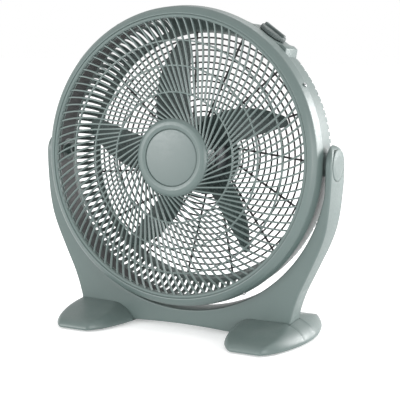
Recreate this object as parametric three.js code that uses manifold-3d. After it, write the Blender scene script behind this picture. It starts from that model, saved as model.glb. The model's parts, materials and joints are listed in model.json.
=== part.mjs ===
// Round drum floor fan in a U-shaped tilting stand with two feet.
// Units are millimetres, +Z is up and the front of the fan faces -Y.
// The origin is on the floor, below the middle of the tilt axis.

import * as THREE from "three";
import { mergeVertices } from "three/addons/utils/BufferGeometryUtils.js";
import Module from "manifold-3d";

const wasm = await Module();
wasm.setup();

// ---------------------------------------------------------------- driving dimensions

const GAP = 0.3; // clearance kept between pieces that touch
const RING_SEGMENTS = 40; // facets of every large ring
const REST_TILT = 4; // degrees the drum leans back at rest

// Drum shell
const BEZEL_R = 230; // outer radius of the whole drum
const BEZEL_FRONT_Y = -51;
const BEZEL_REAR_Y = -22;
const BEZEL_SCREWS = 4;
const HOUSING_R = BEZEL_R - 5;
const HOUSING_WALL = 2.5;
const HOUSING_FRONT_Y = -38;
const REAR_GRILLE_Y = 52;
const REAR_RIBS = 15;
const BOSS_HEIGHT = 6.3; // pivot boss above the drum wall
const BOSS_FACE_X = HOUSING_R + BOSS_HEIGHT;

// Front grille
const GRILLE_R = BEZEL_R - 14.8;
const GRILLE_RIBS = 20;
const HUB_RIM_R = 59.4;
const HUB_RIM_WIDTH = 15.9;
const BADGE_R = HUB_RIM_R - HUB_RIM_WIDTH;
const RIB_SWEEP_R = HUB_RIM_R - 14.4; // ribs lie tangent to this circle
const RIB_WIDTH = 2.6;
const GRILLE_RINGS = [1, 2, 3].map((n) => HUB_RIM_R + ((GRILLE_R - HUB_RIM_R) * n) / 4);

// Stand
const DRUM_CLEARANCE = 8; // between the drum and the stand's inner arc
const YOKE_ARC_R = BEZEL_R + DRUM_CLEARANCE;
const BUSH_FLANGE = 3.7; // room for the bush between the boss and the arm
const ARM_INNER_X = BOSS_FACE_X + BUSH_FLANGE;
const ARM_THICKNESS = 9.5;
const ARM_OUTER_X = ARM_INNER_X + ARM_THICKNESS;
const ARM_TOP_R = 29;
const BEAM_HEIGHT = 24;
const BEAM_FLOOR_GAP = 8;
const PIVOT_Z = YOKE_ARC_R + BEAM_HEIGHT + BEAM_FLOOR_GAP; // tilt axis above the floor
const YOKE_FRONT = ARM_TOP_R; // front face of the stand, ahead of the tilt axis
const YOKE_REAR_LOW = 12; // how far the cross-beam reaches behind the tilt plane
const YOKE_WALL = 3;
const PIVOT_BOLT_R = 4;
const BUSH_R = PIVOT_BOLT_R + 3;
const BOLT_HEAD_R = PIVOT_BOLT_R + 5.4;
const CAP_R = ARM_TOP_R - 5.6;
const CAP_RECESS = 4.3;
const BOLT_RECESS = 2.4;

// Feet
const FOOT_X = 147;
const FOOT_HALF_LENGTH = 112;
const FOOT_HALF_WIDTH = 63.5;
const FOOT_TOP = 33;
const FOOT_LIP = 5;
const FOOT_ANKLE = 36; // from the foot's middle to the stand's outer edge
const FOOT_FLOOR = 1.5; // foot's floor under the stand
const PAD_H = 3;
const PAD_R = 11;
const PAD_X = 26;
const PAD_Y = FOOT_HALF_LENGTH - 34;
const FOOT_SCREW_R = 2;

// Motor
const MOTOR_R = 46;
const MOTOR_Y0 = 10; // front face of the motor
const MOTOR_Y1 = REAR_GRILLE_Y - 2.4 - GAP; // rear face, against the plate
const STATOR_R = MOTOR_R - 3;
const STATOR_BORE_R = 27.6;
const STATOR_Y0 = MOTOR_Y0 + 10;
const STATOR_Y1 = MOTOR_Y1 - 11.3;
const SPLIT_Y = STATOR_Y0 + 9.4; // where the two bells meet
const AIR_GAP = 0.6;
const MOTOR_BOLT_R = MOTOR_R + 5;
const MOTOR_PLATE_R = MOTOR_BOLT_R + 11;
const COVER_DEPTH = 22;
const COVER_SCREWS = [[MOTOR_PLATE_R - 10, 0], [10 - MOTOR_PLATE_R, 0]];
const GLAND_Y = REAR_GRILLE_Y + 12;
const GLAND_Z = MOTOR_PLATE_R - 0.4;
const REAR_RINGS = [1, 2].map((n) => {
  return MOTOR_PLATE_R + ((HOUSING_R - 33 - MOTOR_PLATE_R) * n) / 3;
});

// Rotor
const SHAFT_R = 4;
const BEARING_R = SHAFT_R + 5;
const PIN_R = 1.5;
const BLADES = 5;
const TIP_CLEARANCE = 45.5;
const BLADE_TIP_R = HOUSING_R - HOUSING_WALL - TIP_CLEARANCE;
const IMPELLER_HUB_R = 41;
const BLADE_THICKNESS = 2.4;
const BLADE_START = 18; // degrees, trailing edge of the first blade
const BLADE_ROOT_SPREAD = 46;
const BLADE_TIP_SPREAD = 5;

// Controls
const KNOB_ANGLE = 55; // degrees from +X, seen from the front
const KNOB_R = 21.5;
const KNOB_Y = 2;
const PAD_TOP_R = HOUSING_R + 4.6; // raised pad that carries the switch
const KNOB_TOP_R = PAD_TOP_R + 10.4;
const SPINDLE_R = 3;

// ---------------------------------------------------------------- finishes

function plastic(color, roughness) {
  return new THREE.MeshStandardMaterial({ color, roughness, metalness: 0 });
}

function metal(color, roughness) {
  return new THREE.MeshStandardMaterial({ color, roughness, metalness: 1 });
}

const FINISH = {
  shell: () => plastic(0x768684, 0.5),
  knob: () => plastic(0x5f6e6c, 0.55),
  badge: () => plastic(0xa9b8b5, 0.4),
  blade: () => plastic(0x6c7c7a, 0.35),
  black: () => plastic(0x1d1f20, 0.6),
  rubber: () => plastic(0x2a2c2c, 0.9),
  nylon: () => plastic(0xd8d6cc, 0.5),
  steel: () => metal(0xa4a8ab, 0.35),
  painted: () => metal(0x4c5254, 0.55),
  lamination: () => metal(0x6d6f70, 0.5),
  copper: () => metal(0xb0683a, 0.4),
  bronze: () => metal(0xa17a45, 0.45),
};

// ---------------------------------------------------------------- geometry helpers

const radians = THREE.MathUtils.degToRad;

/** Turns a closed three.js geometry into a manifold solid with its faces pointing out. */
function solid(geometry) {
  const bare = new THREE.BufferGeometry();
  bare.setAttribute("position", geometry.getAttribute("position").clone());
  if (geometry.index) bare.setIndex(geometry.index.clone());
  const merged = mergeVertices(bare, 1e-4);
  const at = merged.getAttribute("position").array;
  const source = merged.index.array;
  const faces = [];
  let volume = 0;
  for (let i = 0; i < source.length; i += 3) {
    const [a, b, c] = [source[i], source[i + 1], source[i + 2]];
    if (a === b || b === c || c === a) continue;
    faces.push(a, b, c);
    const [p, q, r] = [a, b, c].map((k) => new THREE.Vector3().fromArray(at, 3 * k));
    volume += p.dot(q.cross(r));
  }
  if (volume < 0) {
    for (let i = 0; i < faces.length; i += 3) {
      [faces[i + 1], faces[i + 2]] = [faces[i + 2], faces[i + 1]];
    }
  }
  const mesh = new wasm.Mesh({
    numProp: 3,
    vertProperties: new Float32Array(at),
    triVerts: new Uint32Array(faces),
  });
  return new wasm.Manifold(mesh);
}

/** Joins many solids pair by pair. */
function join(solids) {
  let queue = solids;
  while (queue.length > 1) {
    const next = [];
    for (let i = 0; i < queue.length; i += 2) {
      next.push(i + 1 < queue.length ? queue[i].add(queue[i + 1]) : queue[i]);
    }
    queue = next;
  }
  return queue[0];
}

function cut(body, ...tools) {
  return body.subtract(join(tools));
}

/** Solid of revolution about the Y axis from a closed profile of [radius, y] points. */
function revolve(profile, segments = 32) {
  const points = profile.map(([r, y]) => new THREE.Vector2(r, y));
  if (profile[0][0] > 0 || profile[profile.length - 1][0] > 0) points.push(points[0].clone());
  return new THREE.LatheGeometry(points, segments);
}

/** Disc or tube about the Y axis between two heights. */
function tubeY(outer, y0, y1, inner = 0, segments = 32) {
  if (inner > 0) return revolve([[inner, y0], [outer, y0], [outer, y1], [inner, y1]], segments);
  return revolve([[0, y0], [outer, y0], [outer, y1], [0, y1]], segments);
}

/** The same, lying along X. */
function tubeX(outer, x0, x1, inner = 0, segments = 32) {
  return tubeY(outer, x0, x1, inner, segments).rotateZ(-Math.PI / 2);
}

/** The same, standing along Z. */
function tubeZ(outer, z0, z1, inner = 0, segments = 32) {
  return tubeY(outer, z0, z1, inner, segments).rotateX(Math.PI / 2);
}

function box(x0, x1, y0, y1, z0, z1) {
  const geometry = new THREE.BoxGeometry(x1 - x0, y1 - y0, z1 - z0);
  return geometry.translate((x0 + x1) / 2, (y0 + y1) / 2, (z0 + z1) / 2);
}

/** Outline of [x, z] points, extruded along Y. */
function slabY(outline, y0, y1) {
  const shape = new THREE.Shape(outline.map(([x, z]) => new THREE.Vector2(x, z)));
  const geometry = new THREE.ExtrudeGeometry(shape, { depth: y1 - y0, bevelEnabled: false });
  return geometry.rotateX(Math.PI / 2).translate(0, y1, 0);
}

/** Outline of [y, z] points, extruded along X. */
function slabX(outline, x0, x1) {
  const shape = new THREE.Shape(outline.map(([y, z]) => new THREE.Vector2(y, z)));
  const geometry = new THREE.ExtrudeGeometry(shape, { depth: x1 - x0, bevelEnabled: false });
  const turn = new THREE.Matrix4().makeBasis(
    new THREE.Vector3(0, 1, 0),
    new THREE.Vector3(0, 0, 1),
    new THREE.Vector3(1, 0, 0),
  );
  return geometry.applyMatrix4(turn).translate(x0, 0, 0);
}

/** Skin through rings of equal point counts, closed with a flat cap at each end. */
function loft(rings) {
  const count = rings[0].length;
  const points = rings.flat();
  const faces = [];
  for (let ring = 0; ring + 1 < rings.length; ring += 1) {
    for (let i = 0; i < count; i += 1) {
      const a = ring * count + i;
      const b = ring * count + ((i + 1) % count);
      faces.push(a, b, b + count, a, b + count, a + count);
    }
  }
  const last = (rings.length - 1) * count;
  for (let i = 1; i + 1 < count; i += 1) {
    faces.push(0, i + 1, i, last, last + i, last + i + 1);
  }
  const geometry = new THREE.BufferGeometry().setFromPoints(points);
  geometry.setIndex(faces);
  return geometry;
}

function turnedY(geometry, degrees) {
  return geometry.clone().rotateY(-radians(degrees));
}

/** Mirrors a solid's mesh in X, keeping the faces pointing out. */
function mirroredX(body) {
  const mesh = body.getMesh();
  const geometry = new THREE.BufferGeometry();
  geometry.setAttribute("position", new THREE.BufferAttribute(mesh.vertProperties.slice(), 3));
  geometry.setIndex(new THREE.BufferAttribute(mesh.triVerts.slice(), 1));
  geometry.scale(-1, 1, 1);
  return solid(geometry);
}

function part(name, body, material) {
  const mesh = body.getMesh();
  const geometry = new THREE.BufferGeometry();
  geometry.setAttribute("position", new THREE.BufferAttribute(mesh.vertProperties, 3));
  geometry.setIndex(new THREE.BufferAttribute(mesh.triVerts, 1));
  geometry.computeVertexNormals();
  const piece = new THREE.Mesh(geometry, material());
  piece.name = name;
  return piece;
}

// ---------------------------------------------------------------- stand

/** Right half of the stand's outer edge, from the middle of the floor side up. */
function yokeEdge() {
  const ankle = FOOT_X + FOOT_ANKLE;
  const sole = PAD_H + FOOT_FLOOR;
  const low = [
    [0, BEAM_FLOOR_GAP], [ankle * 0.22, BEAM_FLOOR_GAP - 0.6], [ankle * 0.44, sole + 1.1],
    [ankle * 0.6, sole], [ankle - 11, sole], [ankle - 3, sole + 7.5], [ankle, FOOT_TOP],
  ];
  const sweep = [
    [0.085, 0.08], [0.212, 0.178], [0.382, 0.274], [0.561, 0.376], [0.732, 0.477],
    [0.854, 0.57], [0.919, 0.654], [0.959, 0.747], [0.992, 0.873],
  ];
  const rise = sweep.map(([across, up]) => {
    return [ankle + (ARM_OUTER_X - ankle) * across, FOOT_TOP + (PIVOT_Z - FOOT_TOP) * up];
  });
  const top = PIVOT_Z + ARM_TOP_R;
  const head = [
    [ARM_OUTER_X, PIVOT_Z - 8], [ARM_OUTER_X - 1, PIVOT_Z + 14],
    [ARM_OUTER_X - 5.5, PIVOT_Z + 24], [ARM_INNER_X, top + 0.5],
  ];
  return [...low, ...rise, ...head];
}

/** The inner arc, from the pivot arm down to the middle. */
function yokeArc(radius, innerX, steps) {
  const start = Math.acos(Math.min(1, innerX / radius));
  const points = [];
  for (let i = 0; i <= steps; i += 1) {
    const angle = start + ((Math.PI / 2 - start) * i) / steps;
    points.push([radius * Math.cos(angle), PIVOT_Z - radius * Math.sin(angle)]);
  }
  points[steps][0] = 0;
  return points;
}

function mirroredOutline(right) {
  const left = right.slice(1, -1).reverse().map(([x, z]) => [-x, z]);
  return [...right, ...left];
}

function yokeOutline() {
  return mirroredOutline([...yokeEdge(), ...yokeArc(YOKE_ARC_R, ARM_INNER_X, 15)]);
}

/** The channel behind the front face, clear of the walls along both edges. */
function yokePocket() {
  const shown = yokeEdge().filter(([, z]) => z < PIVOT_Z - 55);
  const edge = shown.map(([x, z], i, all) => {
    const [px, pz] = all[Math.max(0, i - 1)];
    const [nx, nz] = all[Math.min(all.length - 1, i + 1)];
    const away = new THREE.Vector2(-(nz - pz), nx - px).normalize().multiplyScalar(YOKE_WALL);
    return [Math.max(0, x + away.x), z + away.y];
  });
  edge[0][0] = 0;
  const top = edge[edge.length - 1];
  const inner = yokeArc(YOKE_ARC_R + YOKE_WALL, top[0] - 1, 10);
  return mirroredOutline([...edge, ...inner]);
}

const FOOT_SCREWS = [FOOT_X - 9, FOOT_X + 9];
const FOOT_SCREW_Y = -YOKE_FRONT / 2;

function makeYoke() {
  const front = -YOKE_FRONT;
  const low = YOKE_REAR_LOW;
  const back = [[low, 0.22], [low + 3, 0.37], [low + 9, 0.555], [low + 14, 0.7], [ARM_TOP_R, 0.87]];
  const side = [[front, 0], [low, 0], ...back.map(([y, up]) => [y, PIVOT_Z * up])];
  for (let i = 0; i <= 10; i += 1) {
    const angle = (Math.PI * i) / 10;
    side.push([ARM_TOP_R * Math.cos(angle), PIVOT_Z + ARM_TOP_R * Math.sin(angle)]);
  }
  const plate = solid(slabY(yokeOutline(), front, ARM_TOP_R + 10));
  const wide = ARM_OUTER_X + 20;
  const body = plate.intersect(solid(slabX(side, -wide, wide)));
  const pocket = solid(slabY(yokePocket(), front + YOKE_WALL, 60));
  const webs = [-1, 0, 1].map((n) => n * (FOOT_X - 37));
  const slots = cut(pocket, ...webs.map((x) => solid(box(x - 1.2, x + 1.2, -60, 80, 0, PIVOT_Z + 40))));
  const tools = [slots];
  for (const s of [-1, 1]) {
    const bores = [
      tubeX(CAP_R + GAP, ARM_OUTER_X - CAP_RECESS, wide, 0, 28),
      tubeX(BOLT_HEAD_R + 0.8, ARM_OUTER_X - CAP_RECESS - BOLT_RECESS, wide, 0, 20),
      tubeX(BUSH_R + GAP, ARM_INNER_X - 15, wide, 0, 16),
    ];
    for (const bore of bores) {
      tools.push(solid(bore.translate(0, 0, PIVOT_Z).scale(s, 1, 1)));
    }
    for (const x of FOOT_SCREWS) {
      const hole = tubeZ(FOOT_SCREW_R + GAP, -5, 20, 0, 8);
      tools.push(solid(hole.translate(s * x, FOOT_SCREW_Y, 0)));
    }
  }
  return cut(body, ...tools);
}

function footHalfWidth(y) {
  const shape = [
    [0, 1], [0.268, 0.961], [0.536, 0.85], [0.75, 0.717], [0.893, 0.567], [0.964, 0.465],
    [1, 0.378],
  ];
  const table = shape.map(([along, wide]) => {
    return [along * FOOT_HALF_LENGTH + (along === 1 ? 1e-6 : 0), wide * FOOT_HALF_WIDTH];
  });
  const at = Math.abs(y);
  for (let i = 1; i < table.length; i += 1) {
    if (at <= table[i][0]) {
      const t = (at - table[i - 1][0]) / (table[i][0] - table[i - 1][0]);
      return THREE.MathUtils.lerp(table[i - 1][1], table[i][1], t);
    }
  }
  return table[table.length - 1][1];
}

function footRing(z, inset) {
  const shares = [1, 0.946, 0.786, 0.536, 0.268, 0, -0.268, -0.536, -0.786, -0.946, -1];
  const stations = shares.map((share) => share * FOOT_HALF_LENGTH);
  const ring = [];
  for (const side of [1, -1]) {
    for (const station of side > 0 ? stations : [...stations].reverse()) {
      const x = footHalfWidth(station) * (1 - inset / FOOT_HALF_WIDTH);
      const y = station * (1 - inset / FOOT_HALF_LENGTH);
      ring.push(new THREE.Vector3(FOOT_X + side * x, y, z));
    }
  }
  return ring;
}

/** A domed foot: sloping front and back, facets down to a thin lip, and a slot for the stand. */
function makeFoot() {
  const lip = PAD_H + FOOT_LIP;
  const rise = FOOT_TOP - lip;
  const dome = solid(loft([
    footRing(PAD_H, 0), footRing(lip, 0.6), footRing(lip + rise * 0.52, 12),
    footRing(lip + rise * 0.84, 25), footRing(FOOT_TOP + 1, 42),
  ]));
  const half = FOOT_HALF_LENGTH;
  const slope = [
    [-half, 0], [half, 0], [half, lip], [half * 0.625, lip + rise * 0.44],
    [YOKE_FRONT + 5, FOOT_TOP - 3], [YOKE_FRONT - 5, FOOT_TOP],
  ];
  const back = slope.slice(2).reverse().map(([y, z]) => [-y, z]);
  const outside = dome.intersect(solid(slabX([...slope, ...back], FOOT_X - 200, FOOT_X + 200)));
  const slotFront = -YOKE_FRONT - GAP;
  const slotRear = YOKE_REAR_LOW + GAP;
  const ankle = FOOT_X + FOOT_ANKLE;
  const sole = PAD_H + FOOT_FLOOR;
  const inside = FOOT_X - FOOT_HALF_WIDTH - 20;
  const edge = [
    [inside, 99], [inside, sole - GAP], [ankle - 10.7, sole - GAP],
    [ankle - 2.6, sole + 7.5 - GAP], [ankle + 0.4, FOOT_TOP], [ankle + 6, 99],
  ];
  const slot = solid(slabY(edge, slotFront, slotRear));
  const tools = [slot];
  for (const side of [-1, 1]) {
    for (const y of [-PAD_Y, PAD_Y]) {
      const seat = tubeZ(PAD_R + GAP, -5, PAD_H + 1, 0, 16);
      tools.push(solid(seat.translate(FOOT_X + side * PAD_X, y, 0)));
    }
  }
  return cut(outside, ...tools);
}

/** Thin hollow under each lobe of the foot, open to the floor. */
function footHollow(sign) {
  const near = sign * ((sign > 0 ? YOKE_REAR_LOW : YOKE_FRONT) + 3.5);
  const far = sign * (FOOT_HALF_LENGTH - 17);
  const outer = [[near, 0], [far, 0], [far, PAD_H + 3], [near, FOOT_TOP - 8]];
  const web = solid(box(FOOT_X - 1.2, FOOT_X + 1.2, -130, 130, -5, 40));
  const slopeCut = solid(slabX(outer, FOOT_X - 34, FOOT_X + 34));
  return cut(slopeCut, web);
}

function makeStand() {
  const pieces = [];
  const yoke = makeYoke();
  pieces.push(part("stand_yoke", yoke, FINISH.shell));
  const pockets = [-1, 1].flatMap((sign) => {
    const hollow = footHollow(sign);
    const posts = [-1, 1].map((side) => {
      const y = sign * PAD_Y;
      return solid(tubeZ(PAD_R + 3, -6, 60, 0, 16).translate(FOOT_X + side * PAD_X, y, 0));
    });
    return [cut(hollow, ...posts)];
  });
  const screwHoles = FOOT_SCREWS.map((x) => {
    return solid(tubeZ(FOOT_SCREW_R + GAP, -5, 20, 0, 8).translate(x, FOOT_SCREW_Y, 0));
  });
  const foot = cut(makeFoot(), ...pockets, ...screwHoles);
  for (const [label, right] of [["left", false], ["right", true]]) {
    const s = right ? 1 : -1;
    pieces.push(part(`foot_${label}`, right ? foot : mirroredX(foot), FINISH.shell));
    for (const [i, x] of FOOT_SCREWS.entries()) {
      const screw = join([
        solid(tubeZ(3.6, 0.9, PAD_H - GAP, 0, 12)),
        solid(tubeZ(FOOT_SCREW_R, PAD_H - 1, 12, 0, 8)),
      ]);
      const piece = part(`foot_screw_${label}_${i + 1}`, screw, FINISH.steel);
      piece.position.set(s * x, FOOT_SCREW_Y, 0);
      pieces.push(piece);
    }
    for (const [i, [side, y]] of [[-1, -PAD_Y], [1, -PAD_Y], [-1, PAD_Y], [1, PAD_Y]].entries()) {
      const pad = tubeY(PAD_R, 0, PAD_H + 0.7, 0, 16);
      const piece = part(`foot_pad_${label}_${i + 1}`, solid(pad.rotateX(Math.PI / 2)), FINISH.rubber);
      piece.position.set(s * (FOOT_X + side * PAD_X), y, 0);
      pieces.push(piece);
    }
    const inside = ARM_OUTER_X - CAP_RECESS + GAP;
    const cap = solid(revolve([
      [0, inside + 1.6], [CAP_R * 0.55, inside + 1.6], [CAP_R * 0.55, inside], [CAP_R, inside],
      [CAP_R, ARM_OUTER_X - 0.6], [CAP_R - 1.6, ARM_OUTER_X + 0.6], [CAP_R / 2, ARM_OUTER_X + 1.8],
      [0, ARM_OUTER_X + 2.1],
    ], 24).rotateZ(-Math.PI / 2).scale(s, 1, 1));
    const seatX = ARM_OUTER_X - CAP_RECESS - BOLT_RECESS;
    const bushing = join([
      solid(tubeX(BUSH_R + 9, BOSS_FACE_X + GAP, ARM_INNER_X - GAP, PIVOT_BOLT_R + GAP, 16)),
      solid(tubeX(BUSH_R, ARM_INNER_X - 1, seatX - GAP, PIVOT_BOLT_R + GAP, 16)),
    ]);
    const capPiece = part(`pivot_cap_${label}`, cap, FINISH.shell);
    const bush = part(`pivot_bush_${label}`, right ? bushing : mirroredX(bushing), FINISH.nylon);
    for (const piece of [capPiece, bush]) {
      piece.position.set(0, 0, PIVOT_Z);
      pieces.push(piece);
    }
  }
  return pieces;
}

// ---------------------------------------------------------------- drum shell

function makeBezel() {
  const y = BEZEL_FRONT_Y;
  return solid(revolve([
    [GRILLE_R + GAP, y], [GRILLE_R + 2, y - 0.4], [BEZEL_R - 2, y + 8], [BEZEL_R, y + 11],
    [BEZEL_R, BEZEL_REAR_Y], [BEZEL_R - 2.6, BEZEL_REAR_Y], [BEZEL_R - 2.6, y + 12],
    [GRILLE_R + 5, y + 10], [GRILLE_R - 6, y + 10], [GRILLE_R - 6, y + 7.4],
    [GRILLE_R + GAP, y + 7.4],
  ], RING_SEGMENTS));
}

/** Straight wedge-section bar whose plan lies tangent to the sweep circle, between two radii. */
function sweptBar({ from, to, yFrom, yTo, width, depth, tangent, hand = 1 }) {
  const ends = [[from, yFrom], [to, yTo]].map(([r, y]) => {
    const along = Math.sqrt(r * r - tangent * tangent);
    const centre = new THREE.Vector3(hand * along, y, tangent);
    return [
      new THREE.Vector3(0, 0, -width / 2), new THREE.Vector3(0, 0, width / 2),
      new THREE.Vector3(0, depth, 0),
    ].map((corner) => corner.add(centre));
  });
  return loft(ends);
}

/** Thin hoop of the same wedge section as the bars. */
function ringBar(radius, y, width, depth, segments) {
  return revolve([[radius - width / 2, y], [radius, y + depth], [radius + width / 2, y]], segments);
}

/** Front height of the gently domed grille bars at a radius. */
function ribFront(radius) {
  const t = (radius - HUB_RIM_R) / (GRILLE_R - HUB_RIM_R);
  return THREE.MathUtils.lerp(-56, -49.5, t);
}

function makeFrontGrille() {
  const bars = [];
  for (let i = 0; i < GRILLE_RIBS; i += 1) {
    const bar = sweptBar({
      from: HUB_RIM_R - 1.2, to: GRILLE_R - 2.5, yFrom: -56, yTo: -49.5,
      width: RIB_WIDTH, depth: 5, tangent: RIB_SWEEP_R, hand: -1,
    });
    bars.push(solid(turnedY(bar, (360 * i) / GRILLE_RIBS)));
  }
  for (const radius of GRILLE_RINGS) {
    bars.push(solid(ringBar(radius, ribFront(radius) + 1, 2.6, 4.8, 20)));
  }
  bars.push(solid(revolve([
    [GRILLE_R - 5, -50], [GRILLE_R - 3, -51], [GRILLE_R, -50.2], [GRILLE_R, -44],
    [GRILLE_R - 5, -44],
  ], RING_SEGMENTS)));
  bars.push(solid(revolve([
    [BADGE_R + GAP, -59.6], [BADGE_R + 6, -60.8], [HUB_RIM_R - 4, -59.6], [HUB_RIM_R, -56.5],
    [HUB_RIM_R, -50], [HUB_RIM_R - 2.4, -50], [HUB_RIM_R - 2.4, -55], [BADGE_R - 3, -55],
    [BADGE_R - 3, -56.6], [BADGE_R + GAP, -56.6],
  ], 30)));
  return join(bars);
}

/** Shallow domed centre disc that snaps into the middle of the grille. */
function makeBadge() {
  return solid(revolve([
    [0, -56.9], [BADGE_R, -56.9], [BADGE_R, -58.6], [BADGE_R - 1.5, -59.3], [0, -60.6],
  ], 30));
}

function makeRearHousing() {
  const r = HOUSING_R;
  const w = HOUSING_WALL;
  const y = REAR_GRILLE_Y;
  const shell = solid(revolve([
    [r, HOUSING_FRONT_Y], [r, 12], [r - 5, 30], [r - 17, 46], [r - 27, y + 3], [r - 33, y + 3],
    [r - 33, y - 1.8], [r - 19.5, 43], [r - 7.4, 28], [r - w, 11.5], [r - w, HOUSING_FRONT_Y],
  ], RING_SEGMENTS));
  const pieces = [shell];
  for (const radius of REAR_RINGS) {
    pieces.push(solid(ringBar(radius, y + 2.1, 2.8, -3.4, 24)));
  }
  for (let i = 0; i < REAR_RIBS; i += 1) {
    const bar = sweptBar({
      from: MOTOR_PLATE_R - 3, to: r - 30, yFrom: y - 1.6, yTo: y - 0.8,
      width: 3, depth: 3.4, tangent: 20,
    });
    pieces.push(solid(turnedY(bar, (360 * i) / REAR_RIBS)));
  }
  pieces.push(solid(tubeY(MOTOR_PLATE_R, y - 2.4, y + 2.2, 0, 24)));
  for (const s of [-1, 1]) {
    pieces.push(solid(tubeX(17, r - 4, BOSS_FACE_X, 0, 20).scale(s, 1, 1)));
    pieces.push(solid(tubeX(9, r - 14, r - 1, 0, 12).scale(s, 1, 1)));
  }
  pieces.push(solid(controlPad()));
  const body = join(pieces);
  const tools = [solid(controlPocket())];
  for (const s of [-1, 1]) {
    tools.push(solid(tubeX(PIVOT_BOLT_R + GAP, r - 11, r + 30, 0, 12).scale(s, 1, 1)));
  }
  for (let i = 0; i < 4; i += 1) {
    const hole = tubeY(2 + GAP, y - 20, y + 20, 0, 8).translate(MOTOR_BOLT_R, 0, 0);
    tools.push(solid(turnedY(hole, 45 + 90 * i)));
  }
  for (const [x, z] of COVER_SCREWS) {
    tools.push(solid(tubeY(1.7 + GAP, y - 20, y + 20, 0, 8).translate(x, 0, z)));
  }
  tools.push(solid(tubeY(4, y - 20, y + 20, 0, 8).translate(0, 0, -MOTOR_BOLT_R - 3)));
  tools.push(gripOpening());
  for (let i = 0; i < BEZEL_SCREWS; i += 1) {
    tools.push(solid(bezelScrewHole(i)));
  }
  return cut(body, ...tools);
}

function bezelScrewHole(i) {
  const hole = tubeZ(1.6 + GAP, HOUSING_R - 20, HOUSING_R + 20, 0, 8);
  return turnedY(hole.translate(0, -29, 0), 30 + (360 * i) / BEZEL_SCREWS);
}

/** Finger opening at the top of the shoulder, used to carry the fan. */
function gripOpening() {
  const outline = [];
  for (let i = 0; i < 14; i += 1) {
    const angle = (Math.PI * 2 * i) / 14;
    const squash = Math.abs(Math.cos(angle)) > 0.01 ? 0.55 : 1;
    const x = Math.sign(Math.cos(angle)) * Math.abs(Math.cos(angle)) ** squash * 46;
    outline.push([x, 16 + 12 * Math.sin(angle)]);
  }
  const shape = new THREE.Shape(outline.map(([x, y]) => new THREE.Vector2(x, y)));
  const geometry = new THREE.ExtrudeGeometry(shape, { depth: 60, bevelEnabled: false });
  return solid(geometry.translate(0, 0, HOUSING_R - 40));
}

/** Frame whose Z axis points outward through the knob, X runs around the drum. */
function atControl(geometry) {
  return geometry.rotateY(radians(90 - KNOB_ANGLE));
}

/** Raised pad on the drum wall that carries the switch. */
function controlPad() {
  const base = HOUSING_R - 6;
  const outline = [
    [-34, base - 2], [-30, PAD_TOP_R - 1], [-24, PAD_TOP_R], [24, PAD_TOP_R],
    [31, PAD_TOP_R + 2.6], [39, PAD_TOP_R + 1.6], [49, base - 8],
  ];
  return atControl(slabY(outline, -20, 26));
}

function controlPocket() {
  const pocket = box(-19, 19, KNOB_Y - 18, KNOB_Y + 18, HOUSING_R - 35, PAD_TOP_R - 3);
  const hole = tubeZ(SPINDLE_R + 1.5, HOUSING_R - 25, HOUSING_R + 35, 0, 20);
  return atControl(mergeBoxes(pocket, hole.translate(0, KNOB_Y, 0)));
}

function mergeBoxes(a, b) {
  const mesh = solid(a).add(solid(b)).getMesh();
  const geometry = new THREE.BufferGeometry();
  geometry.setAttribute("position", new THREE.BufferAttribute(mesh.vertProperties, 3));
  geometry.setIndex(new THREE.BufferAttribute(mesh.triVerts, 1));
  return geometry;
}

// ---------------------------------------------------------------- motor

function bellEars(y0, y1) {
  const ears = [];
  for (let i = 0; i < 4; i += 1) {
    const ear = join([
      solid(tubeY(5, y0, y1, 0, 8).translate(MOTOR_BOLT_R, 0, 0)),
      solid(box(MOTOR_R - 1.4, MOTOR_BOLT_R, y0, y1, -5, 5)),
    ]);
    ears.push(turnedSolid(ear, 45 + 90 * i));
  }
  return ears;
}

function turnedSolid(body, degrees) {
  const mesh = body.getMesh();
  const geometry = new THREE.BufferGeometry();
  geometry.setAttribute("position", new THREE.BufferAttribute(mesh.vertProperties.slice(), 3));
  geometry.setIndex(new THREE.BufferAttribute(mesh.triVerts.slice(), 1));
  return solid(geometry.rotateY(-radians(degrees)));
}

function boltHoles(radius, y0, y1) {
  return [0, 1, 2, 3].map((i) => {
    const hole = tubeY(radius, y0, y1, 0, 8).translate(MOTOR_BOLT_R, 0, 0);
    return solid(turnedY(hole, 45 + 90 * i));
  });
}

function makeFrontBell() {
  const y = MOTOR_Y0;
  const cup = solid(revolve([
    [SHAFT_R + 1, y], [BEARING_R + 5, y], [MOTOR_R - 3, y + 2], [MOTOR_R, y + 5],
    [MOTOR_R, SPLIT_Y], [STATOR_R + GAP, SPLIT_Y], [STATOR_R + GAP, STATOR_Y0 - GAP],
    [STATOR_R - 2, STATOR_Y0 - GAP], [STATOR_R - 2, y + 4], [BEARING_R + 3, y + 4],
    [BEARING_R + 1.5, y + 7.5], [BEARING_R + GAP, y + 7.5], [BEARING_R + GAP, y + 1.5],
    [SHAFT_R + 1, y + 1.5],
  ], 24));
  const holes = boltHoles(1.8 + GAP, SPLIT_Y - 5.4, SPLIT_Y + 9);
  return cut(join([cup, ...bellEars(SPLIT_Y - 7.4, SPLIT_Y)]), ...holes);
}

function makeRearBell() {
  const y = MOTOR_Y1;
  const cup = solid(revolve([
    [0, y], [MOTOR_R, y], [MOTOR_R, SPLIT_Y + GAP], [STATOR_R + GAP, SPLIT_Y + GAP],
    [STATOR_R + GAP, STATOR_Y1 + GAP], [STATOR_R - 2, STATOR_Y1 + GAP], [STATOR_R - 2, y - 2],
    [BEARING_R + 3, y - 2], [BEARING_R + 1.5, y - 7.5], [BEARING_R + GAP, y - 7.5],
    [BEARING_R + GAP, y - 1.5], [0, y - 1.5],
  ], 24));
  return cut(join([cup, ...bellEars(SPLIT_Y + GAP, y)]), ...boltHoles(1.8 + GAP, SPLIT_Y - 9, y + 11));
}

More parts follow.
